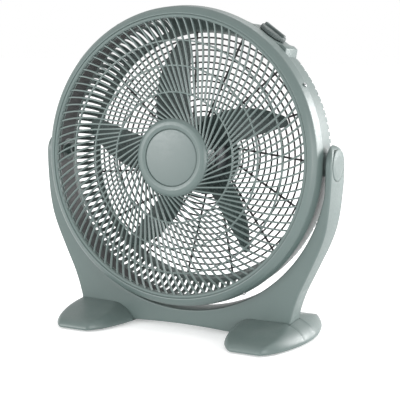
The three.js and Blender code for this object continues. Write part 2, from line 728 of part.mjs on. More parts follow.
function makeMotor() {
  const pieces = [];
  pieces.push(part("motor_bell_front", makeFrontBell(), FINISH.painted));
  pieces.push(part("motor_bell_rear", makeRearBell(), FINISH.painted));
  const core = tubeY(STATOR_R, STATOR_Y0, STATOR_Y1, STATOR_BORE_R, 24);
  pieces.push(part("stator_core", solid(core), FINISH.lamination));
  const coils = [["front", STATOR_Y0 - GAP, -4.6], ["rear", STATOR_Y1 + GAP, 7]];
  for (const [label, y, reach] of coils) {
    const [inner, outer] = [STATOR_BORE_R + 1.4, STATOR_R - 3.5];
    const coil = revolve([
      [inner, y], [outer - 1.5, y], [outer, y + reach * 0.5], [outer - 3.5, y + reach],
      [inner + 1, y + reach],
    ], 24);
    pieces.push(part(`stator_winding_${label}`, solid(coil), FINISH.copper));
  }
  const bearings = [
    ["front", MOTOR_Y0 + 1.8, MOTOR_Y0 + 7.2], ["rear", MOTOR_Y1 - 7.2, MOTOR_Y1 - 1.8],
  ];
  for (const [label, y0, y1] of bearings) {
    const sleeve = tubeY(BEARING_R, y0, y1, SHAFT_R + GAP, 18);
    pieces.push(part(`motor_bearing_${label}`, solid(sleeve), FINISH.bronze));
  }
  for (let i = 0; i < 4; i += 1) {
    const head = REAR_GRILLE_Y + 2.2 + GAP;
    const bolt = join([
      solid(tubeY(1.8, SPLIT_Y - 4.4, head + 1, 0, 8)),
      solid(revolve([
        [0, head], [3.6, head], [3.6, head + 1.2], [2.4, head + 2.4], [0, head + 2.4],
      ], 10)),
    ]);
    const piece = part(`motor_bolt_${i + 1}`, bolt, FINISH.steel);
    const angle = radians(45 + 90 * i);
    piece.position.set(MOTOR_BOLT_R * Math.cos(angle), 0, MOTOR_BOLT_R * Math.sin(angle));
    pieces.push(piece);
  }
  return pieces;
}

/** Domed cover behind the motor, with the cable inlet below. */
function makeMotorCover() {
  const y = REAR_GRILLE_Y + 2.2 + GAP;
  const d = COVER_DEPTH;
  const cup = solid(revolve([
    [MOTOR_PLATE_R - 2, y], [MOTOR_PLATE_R - 1, y + 10], [MOTOR_PLATE_R - 8, y + d - 3],
    [0, y + d], [0, y + d - 2], [MOTOR_PLATE_R - 9.4, y + d - 4.8], [MOTOR_PLATE_R - 3.2, y + 9.4],
    [MOTOR_PLATE_R - 4.2, y],
  ], 30));
  const bosses = COVER_SCREWS.map(([x, z]) => solid(tubeY(4, y, y + d - 4, 0, 10).translate(x, 0, z)));
  const holes = COVER_SCREWS.map(([x, z]) => {
    return solid(tubeY(1.7 + GAP, y - 5, y + 40, 0, 8).translate(x, 0, z));
  });
  const sinks = COVER_SCREWS.map(([x, z]) => {
    return solid(tubeY(3.3 + GAP, y + d - 6.6, y + 40, 0, 10).translate(x, 0, z));
  });
  const inlet = solid(tubeZ(5 + GAP, -GLAND_Z - 30, 22 - GLAND_Z, 0, 14).translate(0, GLAND_Y, 0));
  return cut(join([cup, ...bosses]), ...holes, ...sinks, inlet);
}

function makeCoverScrew() {
  const head = REAR_GRILLE_Y + 2.2 + GAP + COVER_DEPTH - 6.6 + GAP;
  return join([
    solid(tubeY(1.7, REAR_GRILLE_Y - 1, head + 1, 0, 8)),
    solid(revolve([
      [0, head], [3.3, head], [3.3, head + 1], [2.2, head + 1.8], [0, head + 1.8],
    ], 10)),
  ]);
}

/** Grommet in the cover's lower wall where the supply lead enters. */
function makeGland() {
  return join([
    solid(tubeZ(5, -GLAND_Z, 7 - GLAND_Z, 3.2, 14)),
    solid(tubeZ(7.5, -GLAND_Z - 2.2, 0.3 - GLAND_Z, 3.2, 14)),
  ]);
}

// ---------------------------------------------------------------- rotor

/** One twisted blade: a thin closed skin, wide at the root, pitched to push air forward. */
function bladeGeometry() {
  const stations = 6;
  const chordSteps = 4;
  const rings = [];
  for (let i = 0; i < stations; i += 1) {
    const t = i / (stations - 1);
    const r = THREE.MathUtils.lerp(IMPELLER_HUB_R - 2.5, BLADE_TIP_R, t);
    const spread = BLADE_ROOT_SPREAD * (1 - t) ** 1.1 + BLADE_TIP_SPREAD * t;
    const rise = THREE.MathUtils.lerp(28, 12, t);
    const front = [];
    const back = [];
    for (let k = 0; k <= chordSteps; k += 1) {
      const u = k / chordSteps;
      const angle = radians(BLADE_START + u * spread);
      const camber = Math.sin(Math.PI * u) * THREE.MathUtils.lerp(5, 1.5, t);
      const y = -11 - rise * (u - 0.5) + camber;
      const half = (BLADE_THICKNESS / 2) * (0.55 + 0.45 * Math.sin(Math.PI * u));
      front.push(new THREE.Vector3(r * Math.cos(angle), y - half, r * Math.sin(angle)));
      back.unshift(new THREE.Vector3(r * Math.cos(angle), y + half, r * Math.sin(angle)));
    }
    rings.push([...front, ...back]);
  }
  return gridSkin(rings);
}

/** Like loft, with end caps split into strips so that curved ends stay closed. */
function gridSkin(rings) {
  const count = rings[0].length;
  const half = count / 2;
  const faces = [];
  for (let ring = 0; ring + 1 < rings.length; ring += 1) {
    for (let i = 0; i < count; i += 1) {
      const a = ring * count + i;
      const b = ring * count + ((i + 1) % count);
      faces.push(a, b, b + count, a, b + count, a + count);
    }
  }
  const last = (rings.length - 1) * count;
  for (let i = 0; i + 1 < half; i += 1) {
    const [a, b, c, d] = [i, i + 1, count - 2 - i, count - 1 - i];
    faces.push(a, c, b, a, d, c, last + a, last + b, last + c, last + a, last + c, last + d);
  }
  const geometry = new THREE.BufferGeometry().setFromPoints(rings.flat());
  geometry.setIndex(faces);
  return geometry;
}

function makeImpeller() {
  const hub = solid(revolve([
    [SHAFT_R + GAP, -34], [14, -34], [30, -32], [IMPELLER_HUB_R - 1, -25],
    [IMPELLER_HUB_R + 1.5, 6], [IMPELLER_HUB_R - 1, 6], [IMPELLER_HUB_R - 3.6, -23],
    [28, -29.5], [SHAFT_R + 6, -31], [SHAFT_R + 6, -6], [SHAFT_R + GAP, -6],
  ], 24));
  const blades = [];
  for (let i = 0; i < BLADES; i += 1) {
    blades.push(solid(turnedY(bladeGeometry(), (360 * i) / BLADES)));
  }
  const inside = solid(revolve([
    [SHAFT_R + 6.5, -30.2], [28, -28.8], [IMPELLER_HUB_R - 4, -22.6], [IMPELLER_HUB_R - 1.6, 5],
    [IMPELLER_HUB_R - 1.6, 30], [SHAFT_R + 6.5, 30],
  ], 24));
  const reach = SHAFT_R + 5.4;
  const slot = solid(box(-reach, reach, -9 - PIN_R - 0.5, 0, -PIN_R - GAP, PIN_R + GAP));
  return cut(join([hub, ...blades]), inside, slot);
}

function makeShaft() {
  const rod = solid(revolve([
    [0, -44], [3.2, -44], [SHAFT_R, -43], [SHAFT_R, MOTOR_Y1 - 2.4], [0, MOTOR_Y1 - 2.4],
  ], 24));
  return cut(rod, solid(tubeX(PIN_R + GAP, -10, 10, 0, 12).translate(0, -9, 0)));
}

function makeImpellerNut() {
  const shell = solid(revolve([
    [SHAFT_R + GAP, -34 - GAP], [14, -34 - GAP], [14, -37], [11, -38.6], [9, -47],
    [0, -48], [0, -44.6], [SHAFT_R + GAP, -44.6],
  ], 20));
  const grips = [];
  for (let i = 0; i < 5; i += 1) {
    grips.push(solid(turnedY(tubeY(1.8, -60, -38.6, 0, 6).translate(10.6, 0, 0), 72 * i)));
  }
  return cut(shell, ...grips);
}

function makeRotorCore() {
  return solid(tubeY(STATOR_BORE_R - AIR_GAP, STATOR_Y0, STATOR_Y1, SHAFT_R + GAP, 36));
}

function makeDrivePin() {
  const reach = SHAFT_R + 4.6;
  return solid(tubeX(PIN_R, -reach, reach, 0, 12).translate(0, -9, 0));
}

function makeRotor() {
  return [
    part("motor_shaft", makeShaft(), FINISH.steel),
    part("rotor_core", makeRotorCore(), FINISH.lamination),
    part("impeller", makeImpeller(), FINISH.blade),
    part("impeller_nut", makeImpellerNut(), FINISH.black),
    part("drive_pin", makeDrivePin(), FINISH.steel),
  ];
}

// ---------------------------------------------------------------- controls

function makeSwitchBody() {
  const floor = HOUSING_R - 20;
  const body = solid(box(-15, 15, KNOB_Y - 14, KNOB_Y + 14, floor, PAD_TOP_R - 3.4));
  const bore = tubeZ(SPINDLE_R + GAP, floor + 2, HOUSING_R + 35, 0, 16).translate(0, KNOB_Y, 0);
  return atControlSolid(cut(body, solid(bore)));
}

function atControlSolid(body) {
  const mesh = body.getMesh();
  const geometry = new THREE.BufferGeometry();
  geometry.setAttribute("position", new THREE.BufferAttribute(mesh.vertProperties.slice(), 3));
  geometry.setIndex(new THREE.BufferAttribute(mesh.triVerts.slice(), 1));
  return solid(atControl(geometry));
}

function makeSpindle() {
  const rod = tubeZ(SPINDLE_R, HOUSING_R - 17.5, KNOB_TOP_R - 3.2, 0, 16).translate(0, KNOB_Y, 0);
  return atControlSolid(solid(rod));
}

/** Low round knob with a raised grip bar across it. */
function makeKnob() {
  const z = PAD_TOP_R + 0.6;
  const disc = solid(revolve([
    [0, z], [KNOB_R, z], [KNOB_R, z + 4.4], [KNOB_R - 1.6, z + 6], [0, z + 6.6],
  ], 28).rotateX(Math.PI / 2));
  const bar = solid(box(-KNOB_R + 2.5, KNOB_R - 2.5, -4, 4, z + 3, KNOB_TOP_R));
  const bore = solid(tubeZ(SPINDLE_R + GAP, z - 5, KNOB_TOP_R - 2.9, 0, 16));
  const joined = cut(join([disc, bar]), bore);
  const mesh = joined.getMesh();
  const geometry = new THREE.BufferGeometry();
  geometry.setAttribute("position", new THREE.BufferAttribute(mesh.vertProperties.slice(), 3));
  geometry.setIndex(new THREE.BufferAttribute(mesh.triVerts.slice(), 1));
  return solid(atControl(geometry.translate(0, KNOB_Y, 0)));
}

// ---------------------------------------------------------------- assembly

function makeDrum() {
  const pieces = [
    part("rear_housing", makeRearHousing(), FINISH.shell),
    part("front_bezel", makeBezelWithHoles(), FINISH.shell),
    part("front_grille", makeFrontGrille(), FINISH.shell),
    part("hub_badge", makeBadge(), FINISH.badge),
    part("motor_cover", makeMotorCover(), FINISH.shell),
    part("cord_gland", makeGland(), FINISH.black),
    part("speed_switch", makeSwitchBody(), FINISH.black),
    part("switch_spindle", makeSpindle(), FINISH.nylon),
    part("speed_knob", makeKnob(), FINISH.knob),
    ...makeMotor(),
    ...makeRotor(),
  ];
  pieces.find((piece) => piece.name === "cord_gland").position.set(0, GLAND_Y, 0);
  const cell = solid(box(-19, 19, REAR_GRILLE_Y + 2.8, REAR_GRILLE_Y + 16, 16, 34));
  pieces.push(part("capacitor", cell, FINISH.black));
  for (const [i, [x, z]] of COVER_SCREWS.entries()) {
    const piece = part(`cover_screw_${i + 1}`, makeCoverScrew(), FINISH.steel);
    piece.position.set(x, 0, z);
    pieces.push(piece);
  }
  for (const [label, s] of [["left", -1], ["right", 1]]) {
    const head = ARM_OUTER_X - CAP_RECESS - BOLT_RECESS + GAP;
    const bolt = join([
      solid(tubeX(PIVOT_BOLT_R, HOUSING_R - 9, head + 1, 0, 16)),
      solid(tubeX(BOLT_HEAD_R, head, head + 3.9, 0, 6)),
    ]);
    pieces.push(part(`pivot_bolt_${label}`, s > 0 ? bolt : mirroredX(bolt), FINISH.steel));
  }
  for (let i = 0; i < BEZEL_SCREWS; i += 1) {
    const at = BEZEL_R + GAP;
    const screw = join([
      solid(tubeZ(1.6, HOUSING_R - 8, at + 0.5, 0, 8).translate(0, -29, 0)),
      solid(tubeZ(3, at, at + 1.6, 0, 10).translate(0, -29, 0)),
    ]);
    const turned = turnedSolid(screw, 30 + (360 * i) / BEZEL_SCREWS);
    pieces.push(part(`bezel_screw_${i + 1}`, turned, FINISH.steel));
  }
  return pieces;
}

function makeBezelWithHoles() {
  const tools = [];
  for (let i = 0; i < BEZEL_SCREWS; i += 1) {
    tools.push(solid(bezelScrewHole(i)));
  }
  return cut(makeBezel(), ...tools);
}

const fan = new THREE.Group();
fan.name = "drum_fan";
for (const piece of makeStand()) fan.add(piece);

const drum = new THREE.Group();
drum.name = "drum";
drum.position.set(0, 0, PIVOT_Z);
drum.rotation.x = -radians(REST_TILT);
for (const piece of makeDrum()) drum.add(piece);
fan.add(drum);

export default fan;
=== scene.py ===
"""Looks of a round drum fan in a tilting stand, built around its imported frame.

Every size in a class is in millimetres unless its name says otherwise. Round pieces of the drum
are drawn in the drum's own axes: u to the right, v up and w towards the front, so a profile is a
list of (radius, w) points. The drum's axes are turned into place by its tilt at rest.
"""

import json
import logging
import math
from collections.abc import Callable, Sequence
from dataclasses import dataclass
from enum import Enum

import bmesh
import bpy
from mathutils import Matrix, Vector


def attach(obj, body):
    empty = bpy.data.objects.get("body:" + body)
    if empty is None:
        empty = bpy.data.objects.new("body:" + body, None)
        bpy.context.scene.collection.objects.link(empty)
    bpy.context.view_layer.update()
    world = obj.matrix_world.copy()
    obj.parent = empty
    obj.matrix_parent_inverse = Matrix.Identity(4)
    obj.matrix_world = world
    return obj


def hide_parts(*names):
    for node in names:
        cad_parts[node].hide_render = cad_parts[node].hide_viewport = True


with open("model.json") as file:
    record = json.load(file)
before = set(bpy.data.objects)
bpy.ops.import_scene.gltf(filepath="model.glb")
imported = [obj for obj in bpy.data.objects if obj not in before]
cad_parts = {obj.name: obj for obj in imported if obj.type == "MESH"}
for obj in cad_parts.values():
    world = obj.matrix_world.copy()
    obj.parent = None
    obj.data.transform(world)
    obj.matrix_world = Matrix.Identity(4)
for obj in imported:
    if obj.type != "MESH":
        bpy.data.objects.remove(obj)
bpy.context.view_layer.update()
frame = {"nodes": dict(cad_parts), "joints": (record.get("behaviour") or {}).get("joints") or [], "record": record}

LOG = logging.getLogger("drum_fan")
MM = 0.001
SIDES = (("left", -1), ("right", 1))
DEFAULT_CREASE = 32.0
REPEAT_CREASE = 40.0
CORNER_SHARE = 0.45
NEARLY_STRAIGHT = math.radians(88)
BEZEL_SCREWS = 4
BEZEL_SCREW_START = 30.0
BEZEL_SCREW_W = 29.0
FOOT_SCREW_Y = -14.5

Point2 = tuple[float, float]
Point3 = tuple[float, float, float]
Skin = tuple[list[Point3], list[tuple[int, ...]]]


class Body(Enum):
    """The moving bodies of the fan."""

    STAND = "stand"
    DRUM = "drum"
    ROTOR = "rotor"
    KNOB = "knob"


class Slot(Enum):
    """The material slots of the record."""

    SHELL = "shell"
    BADGE = "badge"
    KNOB = "knob"
    BLADE = "blade"
    BLACK = "black"
    RUBBER = "rubber"
    NYLON = "nylon"
    STEEL = "steel"
    PAINTED = "painted"
    LAMINATION = "lamination"
    COPPER = "copper"
    BRONZE = "bronze"


# ---------------------------------------------------------------- shader groups and finishes


class NodeGraph:
    """Short-hand for building a node tree."""

    def __init__(self, tree: bpy.types.NodeTree) -> None:
        """Starts on an empty tree."""
        self.tree = tree

    def node(self, kind: str, inputs: dict | None = None, **props: object) -> bpy.types.Node:
        """Adds a node.

        Args:
            kind: The node's type name.
            inputs: Values or sockets by input name or number.
            **props: Settings of the node itself.

        Returns:
            The new node.
        """
        node = self.tree.nodes.new(kind)
        for key, value in props.items():
            setattr(node, key, value)
        for key, value in (inputs or {}).items():
            socket = node.inputs[key]
            if isinstance(value, bpy.types.NodeSocket):
                self.tree.links.new(value, socket)
            else:
                socket.default_value = value
        return node

    def math(self, operation: str, *values: object) -> bpy.types.NodeSocket:
        """Adds a math node and returns its result."""
        node = self.node("ShaderNodeMath", dict(enumerate(values)), operation=operation)
        return node.outputs[0]


class ShaderGraph(NodeGraph):
    """A shader node tree, with the steps that several finishes share."""

    def noise(self, where: bpy.types.NodeSocket, scale: object, detail: float = 2.0) -> bpy.types.NodeSocket:
        """Adds a noise texture and returns its value."""
        inputs = {"Vector": where, "Scale": scale, "Detail": detail}
        return self.node("ShaderNodeTexNoise", inputs).outputs[0]

    def spread(self, value: bpy.types.NodeSocket, low: object, high: object, start: float = 0.0,
               stop: float = 1.0) -> bpy.types.NodeSocket:
        """Maps a value to a new span and holds it there.

        Args:
            value: The value to map.
            low: What start becomes.
            high: What stop becomes.
            start: One end of the old span.
            stop: Its other end.

        Returns:
            The mapped value.
        """
        inputs = {0: value, 1: start, 2: stop, 3: low, 4: high}
        return self.node("ShaderNodeMapRange", inputs).outputs[0]

    def scaled(self, color: bpy.types.NodeSocket, gain: bpy.types.NodeSocket) -> bpy.types.NodeSocket:
        """Multiplies a colour by a number."""
        return self.node("ShaderNodeVectorMath", {0: color, "Scale": gain}, operation="SCALE").outputs[0]

    def overlaid(self, mask: bpy.types.NodeSocket, below: bpy.types.NodeSocket,
                 above: bpy.types.NodeSocket) -> bpy.types.NodeSocket:
        """Lays one colour over another through a mask."""
        return self.node("ShaderNodeMix", {0: mask, 6: below, 7: above}, data_type="RGBA").outputs[2]

    def close(self, leave: bpy.types.Node, **results: bpy.types.NodeSocket) -> bpy.types.NodeTree:
        """Ends a group.

        Args:
            leave: The group's output node.
            **results: The socket that feeds each output, by its name.

        Returns:
            The group's tree.
        """
        for name, socket in results.items():
            self.tree.links.new(socket, leave.inputs[name])
        return self.tree


def new_group(name: str, inputs: Sequence[tuple], outputs: Sequence[tuple]) -> tuple:
    """Makes an empty shader node group with named sockets.

    Args:
        name: The group's name.
        inputs: Name, socket type and default value of each input.
        outputs: Name and socket type of each output.

    Returns:
        The graph, its input node and its output node.
    """
    tree = bpy.data.node_groups.new(name, "ShaderNodeTree")
    for label, kind, value in inputs:
        socket = tree.interface.new_socket(label, in_out="INPUT", socket_type=kind)
        socket.default_value = value
    for label, kind in outputs:
        tree.interface.new_socket(label, in_out="OUTPUT", socket_type=kind)
    graph = ShaderGraph(tree)
    return graph, graph.node("NodeGroupInput"), graph.node("NodeGroupOutput")


class SurfaceGroups:
    """The effects that several finishes share, each built once as a node group."""

    def __init__(self) -> None:
        """Builds every group."""
        self.grain = self._moulded_grain()
        self.wear = self._edge_wear()
        self.dust = self._settled_dust()
        self.brush = self._drawn_metal()

    @staticmethod
    def _moulded_grain() -> bpy.types.NodeTree:
        """Makes spark-eroded grain with slow cloudy changes of tone and gloss.

        Returns:
            The group's tree.
        """
        graph, entry, leave = new_group(
            "moulded_grain",
            [("Color", "NodeSocketColor", (0.2, 0.2, 0.2, 1)), ("Mottle", "NodeSocketFloat", 0.06),
             ("Grain Scale", "NodeSocketFloat", 900.0), ("Roughness", "NodeSocketFloat", 0.5)],
            [("Color", "NodeSocketColor"), ("Roughness", "NodeSocketFloat"),
             ("Height", "NodeSocketFloat")],
        )
        where = graph.node("ShaderNodeTexCoord").outputs["Object"]
        cloud = graph.noise(where, 9.0, 3.0)
        fleck = graph.noise(where, 260.0, 2.0)
        grain = graph.noise(where, entry.outputs["Grain Scale"], 3.0)
        tone = graph.math("ADD", graph.spread(cloud, -1.0, 1.0, 0.3, 0.7),
                          graph.spread(fleck, -0.35, 0.35, 0.3, 0.7))
        gain = graph.math("MULTIPLY_ADD", tone, entry.outputs["Mottle"], 1.0)
        gloss = graph.math("MULTIPLY_ADD", graph.spread(fleck, -0.05, 0.05, 0.3, 0.7), 1.0,
                           entry.outputs["Roughness"])
        gloss = graph.math("ADD", gloss, graph.spread(cloud, -0.04, 0.04, 0.3, 0.7))
        return graph.close(leave, Color=graph.scaled(entry.outputs["Color"], gain), Roughness=gloss,
                           Height=grain)

    @staticmethod
    def _edge_wear() -> bpy.types.NodeTree:
        """Makes polished, paler corners where hands and cloths rub.

        Returns:
            The group's tree.
        """
        graph, entry, leave = new_group(
            "edge_wear",
            [("Color", "NodeSocketColor", (0.2, 0.2, 0.2, 1)),
             ("Worn Color", "NodeSocketColor", (0.4, 0.4, 0.4, 1)),
             ("Amount", "NodeSocketFloat", 0.4)],
            [("Color", "NodeSocketColor"), ("Mask", "NodeSocketFloat")],
        )
        point = graph.node("ShaderNodeNewGeometry").outputs["Pointiness"]
        where = graph.node("ShaderNodeTexCoord").outputs["Object"]
        edge = graph.spread(point, 0.0, 1.0, 0.52, 0.62)
        patch = graph.spread(graph.noise(where, 70.0), 0.2, 1.0, 0.35, 0.65)
        mask = graph.math("MULTIPLY", graph.math("MULTIPLY", edge, patch), entry.outputs["Amount"])
        color = graph.overlaid(mask, entry.outputs["Color"], entry.outputs["Worn Color"])
        return graph.close(leave, Color=color, Mask=mask)

    @staticmethod
    def _settled_dust() -> bpy.types.NodeTree:
        """Makes a thin film of dust in slow patches on what faces up.

        Returns:
            The group's tree.
        """
        graph, entry, leave = new_group(
            "settled_dust",
            [("Color", "NodeSocketColor", (0.2, 0.2, 0.2, 1)),
             ("Dust Color", "NodeSocketColor", (0.4, 0.4, 0.38, 1)),
             ("Amount", "NodeSocketFloat", 0.1)],
            [("Color", "NodeSocketColor"), ("Mask", "NodeSocketFloat")],
        )
        coords = graph.node("ShaderNodeTexCoord")
        up = graph.node("ShaderNodeSeparateXYZ", {0: coords.outputs["Normal"]}).outputs[2]
        lies = graph.spread(up, 0.0, 1.0, 0.2, 0.95)
        patch = graph.spread(graph.noise(coords.outputs["Object"], 40.0, 4.0), 0.3, 1.0, 0.35, 0.7)
        mask = graph.math("MULTIPLY", graph.math("MULTIPLY", lies, patch), entry.outputs["Amount"])
        color = graph.overlaid(mask, entry.outputs["Color"], entry.outputs["Dust Color"])
        return graph.close(leave, Color=color, Mask=mask)

    @staticmethod
    def _drawn_metal() -> bpy.types.NodeTree:
        """Makes fine scratches of turned or drawn metal, with slow stains.

        Returns:
            The group's tree.
        """
        graph, entry, leave = new_group(
            "drawn_metal",
            [("Color", "NodeSocketColor", (0.6, 0.6, 0.6, 1)), ("Roughness", "NodeSocketFloat", 0.3),
             ("Stretch", "NodeSocketVector", (1.0, 1.0, 1.0))],
            [("Color", "NodeSocketColor"), ("Roughness", "NodeSocketFloat"),
             ("Height", "NodeSocketFloat")],
        )
        where = graph.node("ShaderNodeTexCoord").outputs["Object"]
        along = graph.node("ShaderNodeVectorMath", {0: where, 1: entry.outputs["Stretch"]},
                           operation="MULTIPLY").outputs[0]
        scratch = graph.noise(along, 700.0, 4.0)
        stain = graph.noise(where, 60.0, 3.0)
        gain = graph.math("ADD", graph.spread(scratch, 0.86, 1.0, 0.3, 0.7),
                          graph.spread(stain, -0.06, 0.06, 0.3, 0.7))
        gloss = graph.math("ADD", entry.outputs["Roughness"],
                           graph.spread(stain, -0.07, 0.09, 0.3, 0.7))
        return graph.close(leave, Color=graph.scaled(entry.outputs["Color"], gain), Roughness=gloss,
                           Height=scratch)


def blank_material(name: str) -> tuple[bpy.types.Material, ShaderGraph]:
    """Makes a material without any nodes.

    Args:
        name: The material's name.

    Returns:
        The material and its empty graph.
    """
    material = bpy.data.materials.new(name)
    material.use_nodes = True
    material.node_tree.nodes.clear()
    return material, ShaderGraph(material.node_tree)


@dataclass(frozen=True)
class PlasticFinish:
    """Injection-moulded plastic with grain, mottling, rubbed corners and a trace of dust.

    Colours are linear red, green and blue.
    """

    name: str
    color: Point3
    roughness: float = 0.5
    mottle: float = 0.05
    grain_scale: float = 900.0
    grain_depth: float = 0.00003
    wear: float = 0.25
    dust: float = 0.08
    coat: float = 0.0
    specular: float = 0.5
    worn_gain: float = 1.45
    worn_lift: float = 0.02
    worn_polish: float = 0.12
    dust_color: Point3 = (0.36, 0.36, 0.34)
    dust_matt: float = 0.25

    def build(self, groups: SurfaceGroups) -> bpy.types.Material:
        """Makes the material.

        Args:
            groups: The shared node groups.

        Returns:
            The finished material.
        """
        material, graph = blank_material(self.name)
        paler = tuple(min(1.0, c * self.worn_gain + self.worn_lift) for c in self.color)
        grain = graph.node("ShaderNodeGroup", {
            "Color": (*self.color, 1), "Mottle": self.mottle, "Grain Scale": self.grain_scale,
            "Roughness": self.roughness,
        }, node_tree=groups.grain)
        wear = graph.node("ShaderNodeGroup", {
            "Color": grain.outputs["Color"], "Worn Color": (*paler, 1), "Amount": self.wear,
        }, node_tree=groups.wear)
        dust = graph.node("ShaderNodeGroup", {
            "Color": wear.outputs["Color"], "Dust Color": (*self.dust_color, 1), "Amount": self.dust,
        }, node_tree=groups.dust)
        rub = graph.math("MULTIPLY", wear.outputs["Mask"], -self.worn_polish)
        matt = graph.math("MULTIPLY_ADD", dust.outputs["Mask"], self.dust_matt, rub)
        rough = graph.math("ADD", grain.outputs["Roughness"], matt)
        bump = graph.node("ShaderNodeBump", {
            "Height": grain.outputs["Height"], "Strength": 0.5, "Distance": self.grain_depth,
        })
        shader = graph.node("ShaderNodeBsdfPrincipled", {
            "Base Color": dust.outputs["Color"], "Roughness": rough, "Normal": bump.outputs[0],
            "Coat Weight": self.coat, "Coat Roughness": 0.25, "Specular IOR Level": self.specular,
        })
        graph.node("ShaderNodeOutputMaterial", {"Surface": shader.outputs[0]})
        return material


@dataclass(frozen=True)
class MetalFinish:
    """Turned, drawn or plated metal. Colours are linear red, green and blue."""

    name: str
    color: Point3
    roughness: float = 0.32
    stretch: Point3 = (1.0, 0.08, 1.0)
    scratch_depth: float = 0.00002
    metallic: float = 1.0

    def build(self, groups: SurfaceGroups) -> bpy.types.Material:
        """Makes the material.

        Args:
            groups: The shared node groups.

        Returns:
            The finished material.
        """
        material, graph = blank_material(self.name)
        brush = graph.node("ShaderNodeGroup", {
            "Color": (*self.color, 1), "Roughness": self.roughness, "Stretch": self.stretch,
        }, node_tree=groups.brush)
        bump = graph.node("ShaderNodeBump", {
            "Height": brush.outputs["Height"], "Strength": 0.4, "Distance": self.scratch_depth,
        })
        shader = graph.node("ShaderNodeBsdfPrincipled", {
            "Base Color": brush.outputs["Color"], "Roughness": brush.outputs["Roughness"],
            "Normal": bump.outputs[0], "Metallic": self.metallic,
        })
        graph.node("ShaderNodeOutputMaterial", {"Surface": shader.outputs[0]})
        return material


FINISHES: dict[Slot, PlasticFinish | MetalFinish] = {
    Slot.SHELL: PlasticFinish("grey_green_shell", (0.086, 0.118, 0.112), 0.4, mottle=0.04),
    Slot.BADGE: PlasticFinish("pale_badge", (0.088, 0.118, 0.113), 0.4, grain_scale=1500.0, wear=0.1),
    Slot.KNOB: PlasticFinish("dark_grey_green_knob", (0.045, 0.062, 0.06), 0.5),
    Slot.BLADE: PlasticFinish("blade_grey_green", (0.05, 0.07, 0.067), 0.26, mottle=0.04,
                              grain_depth=0.00001, wear=0.1, coat=0.15),
    # This black also dresses the sheet inside the drum wall and the rear guard, where it is painted shade.
    Slot.BLACK: PlasticFinish("black_nylon", (0.009, 0.0105, 0.0105), 0.5, dust=0.02),
    Slot.RUBBER: PlasticFinish("black_rubber", (0.022, 0.022, 0.022), 0.85, wear=0.0, specular=0.3),
    Slot.NYLON: PlasticFinish("natural_nylon", (0.62, 0.6, 0.53), 0.45),
    Slot.STEEL: MetalFinish("zinc_plated_steel", (0.56, 0.57, 0.58)),
    Slot.PAINTED: PlasticFinish("dark_motor_paint", (0.05, 0.058, 0.062), 0.42, grain_scale=600.0,
                                wear=0.5),
    Slot.LAMINATION: MetalFinish("stacked_laminations", (0.25, 0.25, 0.26), 0.45, (0.05, 1.4, 0.05),
                                 0.0002),
    Slot.COPPER: MetalFinish("enamelled_copper", (0.55, 0.2, 0.07), 0.35, (1.0, 1.0, 0.2), 0.0002),
    Slot.BRONZE: MetalFinish("sintered_bronze", (0.5, 0.32, 0.13), 0.5, (1.0, 1.0, 1.0)),
}


class Palette:
    """Materials by slot."""

    def __init__(self) -> None:
        """Builds every finish once."""
        groups = SurfaceGroups()
        self._made = {slot: finish.build(groups) for slot, finish in FINISHES.items()}

    def __getitem__(self, slot: Slot) -> bpy.types.Material:
        """The material of a slot."""
        return self._made[slot]


# ---------------------------------------------------------------- shapes


def rounded(outline: Sequence[tuple], radius: float = 0.6, steps: int = 3,
            closed: bool = True) -> list[Point2]:
    """Rounds the corners of an outline.

    Args:
        outline: Points, each (a, b) or (a, b, its own radius).
        radius: The radius where a point gives none.
        steps: Spans in each rounded corner.
        closed: Whether the last point joins the first.

    Returns:
        The outline with arcs for corners.
    """
    result: list[Point2] = []
    count = len(outline)
    for i, corner in enumerate(outline):
        own = corner[2] if len(corner) > 2 else radius
        here = Vector(corner[:2])
        if own <= 0 or (not closed and i in (0, count - 1)):
            result.append((here.x, here.y))
            continue
        before = Vector(outline[i - 1][:2]) - here
        after = Vector(outline[(i + 1) % count][:2]) - here
        if before.length < 1e-9 or after.length < 1e-9:
            continue
        half = before.angle(after) / 2
        if half > NEARLY_STRAIGHT:
            result.append((here.x, here.y))
            continue
        room = CORNER_SHARE * min(before.length, after.length)
        reach = min(own / math.tan(half), room)
        bend = reach * math.tan(half)
        toward = (before.normalized() + after.normalized()).normalized()
        middle = here + toward * (bend / math.sin(half))
        first = here + before.normalized() * reach - middle
        last = here + after.normalized() * reach - middle
        turn = first.angle_signed(last)
        for k in range(steps + 1):
            swung = Matrix.Rotation(-turn * k / steps, 2) @ first
            result.append((middle.x + swung.x, middle.y + swung.y))
    return result


def smooth_path(points: Sequence[Point2], steps: int) -> list[Point2]:
    """A Catmull-Rom curve through the points.

    Args:
        points: Points that the curve passes through.
        steps: Spans between each two points.

    Returns:
        The finer points.
    """
    result: list[Point2] = []
    for i in range(len(points) - 1):
        p1, p2 = Vector(points[i]), Vector(points[i + 1])
        p0 = Vector(points[i - 1]) if i else p1 * 2 - p2
        p3 = Vector(points[i + 2]) if i + 2 < len(points) else p2 * 2 - p1
        for k in range(steps):
            t = k / steps
            point = 0.5 * ((2 * p1) + (p2 - p0) * t + (2 * p0 - 5 * p1 + 4 * p2 - p3) * t * t
                           + (3 * p1 - p0 - 3 * p2 + p3) * t ** 3)
            result.append((point.x, point.y))
    result.append(tuple(points[-1]))
    return result


def interpolate(table: Sequence[Point2], at: float) -> float:
    """Reads a table along straight lines, holding its end values beyond its ends.

    Args:
        table: Pairs of a place and a value, by rising place.
        at: The place to read.

    Returns:
        The value there.
    """
    if at <= table[0][0]:
        return table[0][1]
    for (a, low), (b, high) in zip(table, table[1:]):
        if at <= b:
            return low + (high - low) * (at - a) / (b - a)
    return table[-1][1]


def smoothstep(low: float, high: float, value: float) -> float:
    """Eased share of the way from low to high."""
    t = min(1.0, max(0.0, (value - low) / (high - low)))
    return t * t * (3 - 2 * t)


